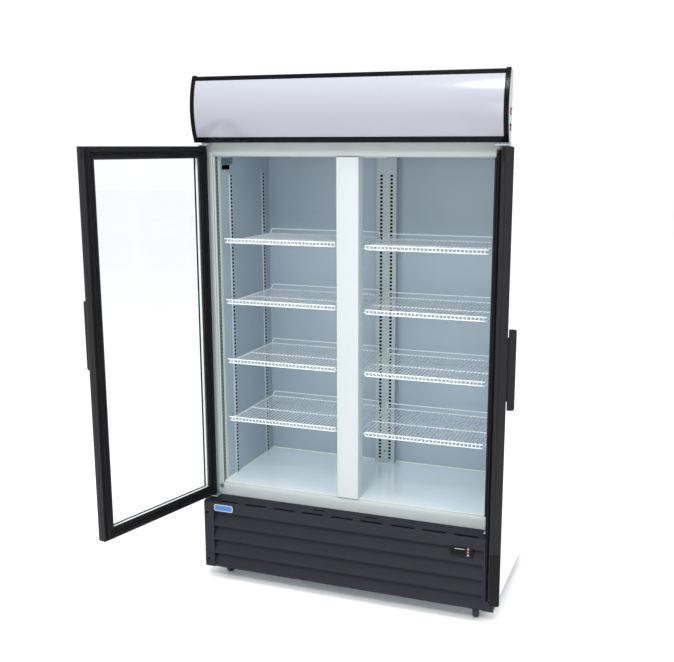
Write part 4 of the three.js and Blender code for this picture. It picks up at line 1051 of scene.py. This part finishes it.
def build_front_cover():
    """Charcoal cover: slotted ledge, deep louvres, plain margins, screws and a blank name plate."""
    x0, x1, front, _, z0, z1 = size_of("front_grille")
    ledge = build_ledge(x0, x1, front, z1)
    build_cover_sides(x1, front, z0, z1)
    wx0, wx1, _, _, wz0, wz1 = size_of("controller_housing")
    gap = 0.3 * MM
    notch = block(wx0 - gap, wx1 + gap, front - 34 * MM, front + 36 * MM, wz0 - gap, wz1 + gap)
    pitch = (LOUVRE_TOP - z0 - MM) / LOUVRES
    for number in range(1, LOUVRES + 1):
        parts = build_louvre(number, pitch, x0 + COVER_MARGIN, x1 - COVER_MARGIN, front)
        if number == 1:
            for part in parts:
                carve(part, [notch])
    carve(ledge, [notch])
    heads = [screw((side * 590 * MM, front, z * MM), (0, -1, 0), 5 * MM)
             for side in (-1, 1) for z in (82, 285)]
    fixed("base_screws", heads, SCREW_BLACK, "charcoal")
    centre = (-515 * MM, 312 * MM)
    rim = along_y(rounded(84 * MM, 28 * MM, 8 * MM, at=centre), front - 1.2 * MM, front)
    fixed("name_plate_rim", [rim], BADGE_RIM, "silver_panel", bevel=0.5 * MM)
    field = along_y(rounded(78 * MM, 22 * MM, 6 * MM, at=centre), front - 1.7 * MM, front - 1 * MM)
    fixed("name_plate_field", [field], BADGE, "silver_panel", bevel=0.3 * MM)


def build_controller():
    """Black controller with a raised rim, a glossy display and marks round its buttons."""
    x0, x1, y0, y1, z0, z1 = size_of("controller_housing")
    width, height = x1 - x0, z1 - z0
    centre = ((x0 + x1) / 2, (z0 + z1) / 2)
    rings = []
    for grow, y in ((0, y1), (0, y0), (-0.5, y0 - 0.7 * MM), (-2.5, y0 - 0.7 * MM), (-3.5, y0 + 0.4 * MM)):
        outline = rounded(width + 2 * grow * MM, height + 2 * grow * MM, 5 * MM, at=centre)
        rings.append([Vector((x, y, z)) for x, z in outline])
    fixed("controller_body", [loft(rings)], BLACK_PLASTIC, "black_plastic", ["controller_housing"], smooth=30)
    window = rounded(54 * MM, 20 * MM, 2.5 * MM, at=(x0 + 34 * MM, centre[1] + 2 * MM))
    display = along_y(window, y0 - 0.4 * MM, y0 + 0.3 * MM)
    fixed("controller_display", [display], DISPLAY, "black_plastic", bevel=0.3 * MM)
    # A bright bar along the top of the display: painted highlight.
    highlight_z = centre[1] + 9 * MM
    line = block(x0 + 18 * MM, x0 + 56 * MM, y0 - 0.8 * MM, y0 - 0.2 * MM, highlight_z, highlight_z + 1.4 * MM)
    fixed("controller_painted_highlight", [line], WIRE_WHITE, "black_plastic", bevel=0.2 * MM)
    marks = []
    for button, tip in (("button_up", 1), ("button_down", -1)):
        bx0, bx1, _, _, bz0, bz1 = size_of(button)
        bx, bz = (bx0 + bx1) / 2, (bz0 + bz1) / 2
        arc = [Vector((bx + 6 * MM * math.sin(a), y0 + 0.1 * MM, bz + tip * 6 * MM * math.cos(a)))
               for a in (math.radians(-60 + 15 * i) for i in range(9))]
        marks.append(tube(arc, 0.5 * MM, 6))
    fixed("controller_marks", marks, PRINT_WHITE, "button_white")
    finishes = {"button_up": PRINT_WHITE, "button_set": ORANGE, "button_down": PRINT_WHITE}
    for button, material in finishes.items():
        refine(button, material, 0.7 * MM)


def build_machine():
    """Everything in the base behind the cover, and the panels at its back."""
    refine("base_tray", GALVANISED, 0.5 * MM)
    refine("rear_grille", GALVANISED, 0.3 * MM)
    refine("power_inlet", BLACK_PLASTIC, 0.8 * MM)
    refine("compressor", COMPRESSOR, 1 * MM)
    refine("condenser", FINS, 0.6 * MM)
    refine("condenser_fan", BLACK_PLASTIC, 0.4 * MM)
    refine("foam_insulation", FOAM, 0)
    x0, x1, y0, y1, _, top = size_of("compressor")
    _, coil_x, _, coil_y, _, _ = size_of("condenser")
    cx, cy = (x0 + x1) / 2, (y0 + y1) / 2

    def pipe(path, radius):
        points = [(x * MM + ox, y * MM + oy, top - down * MM) for (ox, oy), x, y, down in path]
        return tube(smoothed(points, 40 * MM, 8), radius, 12)

    dome, coil = (cx, cy), (coil_x, coil_y)
    suction = [(dome, -60, 0, 60), (dome, -130, 0, 40), (dome, -130, -150, 40), (coil, 20, -20, 40),
               (coil, -5, -20, 40)]
    liquid = [(dome, 40, 50, 80), (dome, 60, 130, 80), (dome, -250, 150, 120), (coil, -5, 10, 150)]
    fixed("copper_pipes", [pipe(suction, 5 * MM), pipe(liquid, 3.5 * MM)], COPPER, "galvanised", smooth=60)


def millimetres(pairs):
    """Pairs of millimetre values in metres."""
    return [(a * MM, b * MM) for a, b in pairs]


RACE = millimetres([(0, 19), (2.5, 20), (3, 20), (4.5, 17)])
TREAD = millimetres([(-11, 8), (-11, 19.5), (-10.2, 21.5), (-8.5, 23.5), (-6, 24.6), (-2, 25), (2, 25),
                     (6, 24.6), (8.5, 23.5), (10.2, 21.5), (11, 19.5), (11, 8)])
HUB = millimetres([(-11.6, 4.4), (-11.6, 8.5), (-11.2, 14), (-11, 15), (11, 15), (11.2, 14), (11.6, 8.5),
                   (11.6, 4.4)])
BOLT_HEAD = millimetres([(0, 5.5), (0.8, 5.5), (1.2, 4.6)])
CROWN_LOW, CROWN_TOP = 62 * MM, 65 * MM


def build_caster(corner):
    """One pressed fork with a ball race and an axle bolt, and its wheel with a hub."""
    x0, x1, _, _, _, z1 = size_of(f"caster_fork_{corner}")
    cx = (x0 + x1) / 2
    axle = JOINTS[f"roll_{corner}"]["pos_m"]
    swivel = JOINTS[f"swivel_{corner}"]["pos_m"]
    along = (1, 0, 0)
    race = RACE + [(z1 - CROWN_LOW, 16 * MM)]
    solids = [lathe(race, (swivel[0], swivel[1], CROWN_LOW), (0, 0, 1))]
    reach = 1 if axle[1] > swivel[1] else -1
    cheek_in, cheek_out = 13 * MM, 15.5 * MM
    heel, toe = swivel[1] - reach * 12 * MM, axle[1] + reach * 11 * MM
    outline = [(heel, CROWN_TOP), (heel, 54 * MM)]
    outline += [(axle[1] + reach * 9 * MM * math.cos(a), axle[2] - 9 * MM * math.sin(a))
                for a in (math.radians(200 - 20 * i) for i in range(11))]
    outline.append((toe, CROWN_TOP))
    for side in (-1, 1):
        solids.append(along_x(outline, *sorted((cx + side * cheek_in, cx + side * cheek_out))))
        solids.append(lathe(BOLT_HEAD, (cx + side * cheek_out, axle[1], axle[2]), (side, 0, 0), 6))
    solids.append(block(cx - cheek_out, cx + cheek_out, *sorted((heel, toe)), 62.5 * MM, CROWN_TOP))
    solids.append(lathe([(-12.8 * MM, 4 * MM), (12.8 * MM, 4 * MM)], axle, along, 16))
    piece(f"caster_yoke_{corner}", solids, CASTER_STEEL, f"caster_{corner}", "caster_steel",
          [f"caster_fork_{corner}"], bevel=0.5 * MM)
    wheel = f"wheel_{corner}"
    piece(f"caster_tyre_{corner}", [lathe(TREAD, axle, along, 48)], RUBBER, wheel, "wheel_rubber",
          [f"caster_wheel_{corner}"], smooth=30)
    piece(f"caster_hub_{corner}", [lathe(HUB, axle, along, 32)], BLACK_PLASTIC, wheel, "wheel_rubber",
          smooth=30)


# ---------------------------------------------------------------- light, floor and camera


def build_stage():
    """A pale floor, a bright even surround and four soft panels."""
    mesh = bpy.data.meshes.new("floor")
    half = 30.0
    corners = [(-half, -half, 0), (half, -half, 0), (half, half, 0), (-half, half, 0)]
    mesh.from_pydata(corners, [], [(0, 1, 2, 3)])
    floor = placed("floor", mesh)
    mesh.materials.append(surface("studio_floor", (0.95, 0.95, 0.95), 0.6, mottle=0.01, patch=0.5, bump=0.0))
    world = bpy.data.worlds.new("studio")
    world.use_nodes = True
    background = world.node_tree.nodes["Background"]
    background.inputs["Color"].default_value = (1.0, 1.0, 1.0, 1)
    background.inputs["Strength"].default_value = 1.05
    bpy.context.scene.world = world
    for name, shape, place, target, width, height, turn, power in (
            ("softbox", "ELLIPSE", (0.2, -3.4, 4.05), (0.2, -0.07, 1.0), 1.35, 0.85, 20, 95),
            ("fill", "RECTANGLE", (0.9, -4.4, 1.5), (0.1, 0.3, 0.7), 2.6, 1.6, 0, 15),
            ("side", "RECTANGLE", (3.6, -0.3, 3.0), (0.6, 0.3, 0.5), 2.4, 2.0, 0, 50),
            ("top", "RECTANGLE", (0.2, -0.6, 5.0), (0, -0.2, 1.0), 3.0, 2.5, 0, 90)):
        light = bpy.data.lights.new(name, "AREA")
        light.shape = shape
        light.size = width
        light.size_y = height
        light.energy = power
        lamp = placed(name, light)
        lamp.location = place
        aim = (Vector(target) - Vector(place)).to_track_quat("-Z", "Y").to_matrix()
        lamp.rotation_euler = (aim @ Matrix.Rotation(math.radians(turn), 3, "Z")).to_euler()


def build_camera():
    """The photograph's viewpoint: 3.3 m in front, a little right, looking down and to the left."""
    eye = Vector((1.2204, -3.2903, 1.7604))
    heading, tilt = -0.3488, 0.202
    ahead = Vector((math.sin(heading) * math.cos(tilt), math.cos(heading) * math.cos(tilt), -math.sin(tilt)))
    data = bpy.data.cameras.new("camera")
    data.sensor_width = 36
    data.lens = 50.3
    data.shift_x = -0.0239
    data.shift_y = 0.0114
    camera = placed("camera", data)
    camera.location = eye
    camera.rotation_euler = ahead.to_track_quat("-Z", "Y").to_euler()
    bpy.context.scene.camera = camera
    bpy.context.scene.view_settings.view_transform = "Standard"


build_casing()
build_front_frame()
build_jamb_lights()
build_liner()
build_rear_pillar()
build_mullion()
build_floor()
build_ceiling()
for label, side in SIDES.items():
    for number in range(1, 5):
        build_shelf(label, side, number)
build_sign()
for label in SIDES:
    build_door(label)
build_hinges()
build_front_cover()
build_controller()
build_machine()
for corner in ("front_left", "front_right", "rear_left", "rear_right"):
    build_caster(corner)
build_stage()
build_camera()
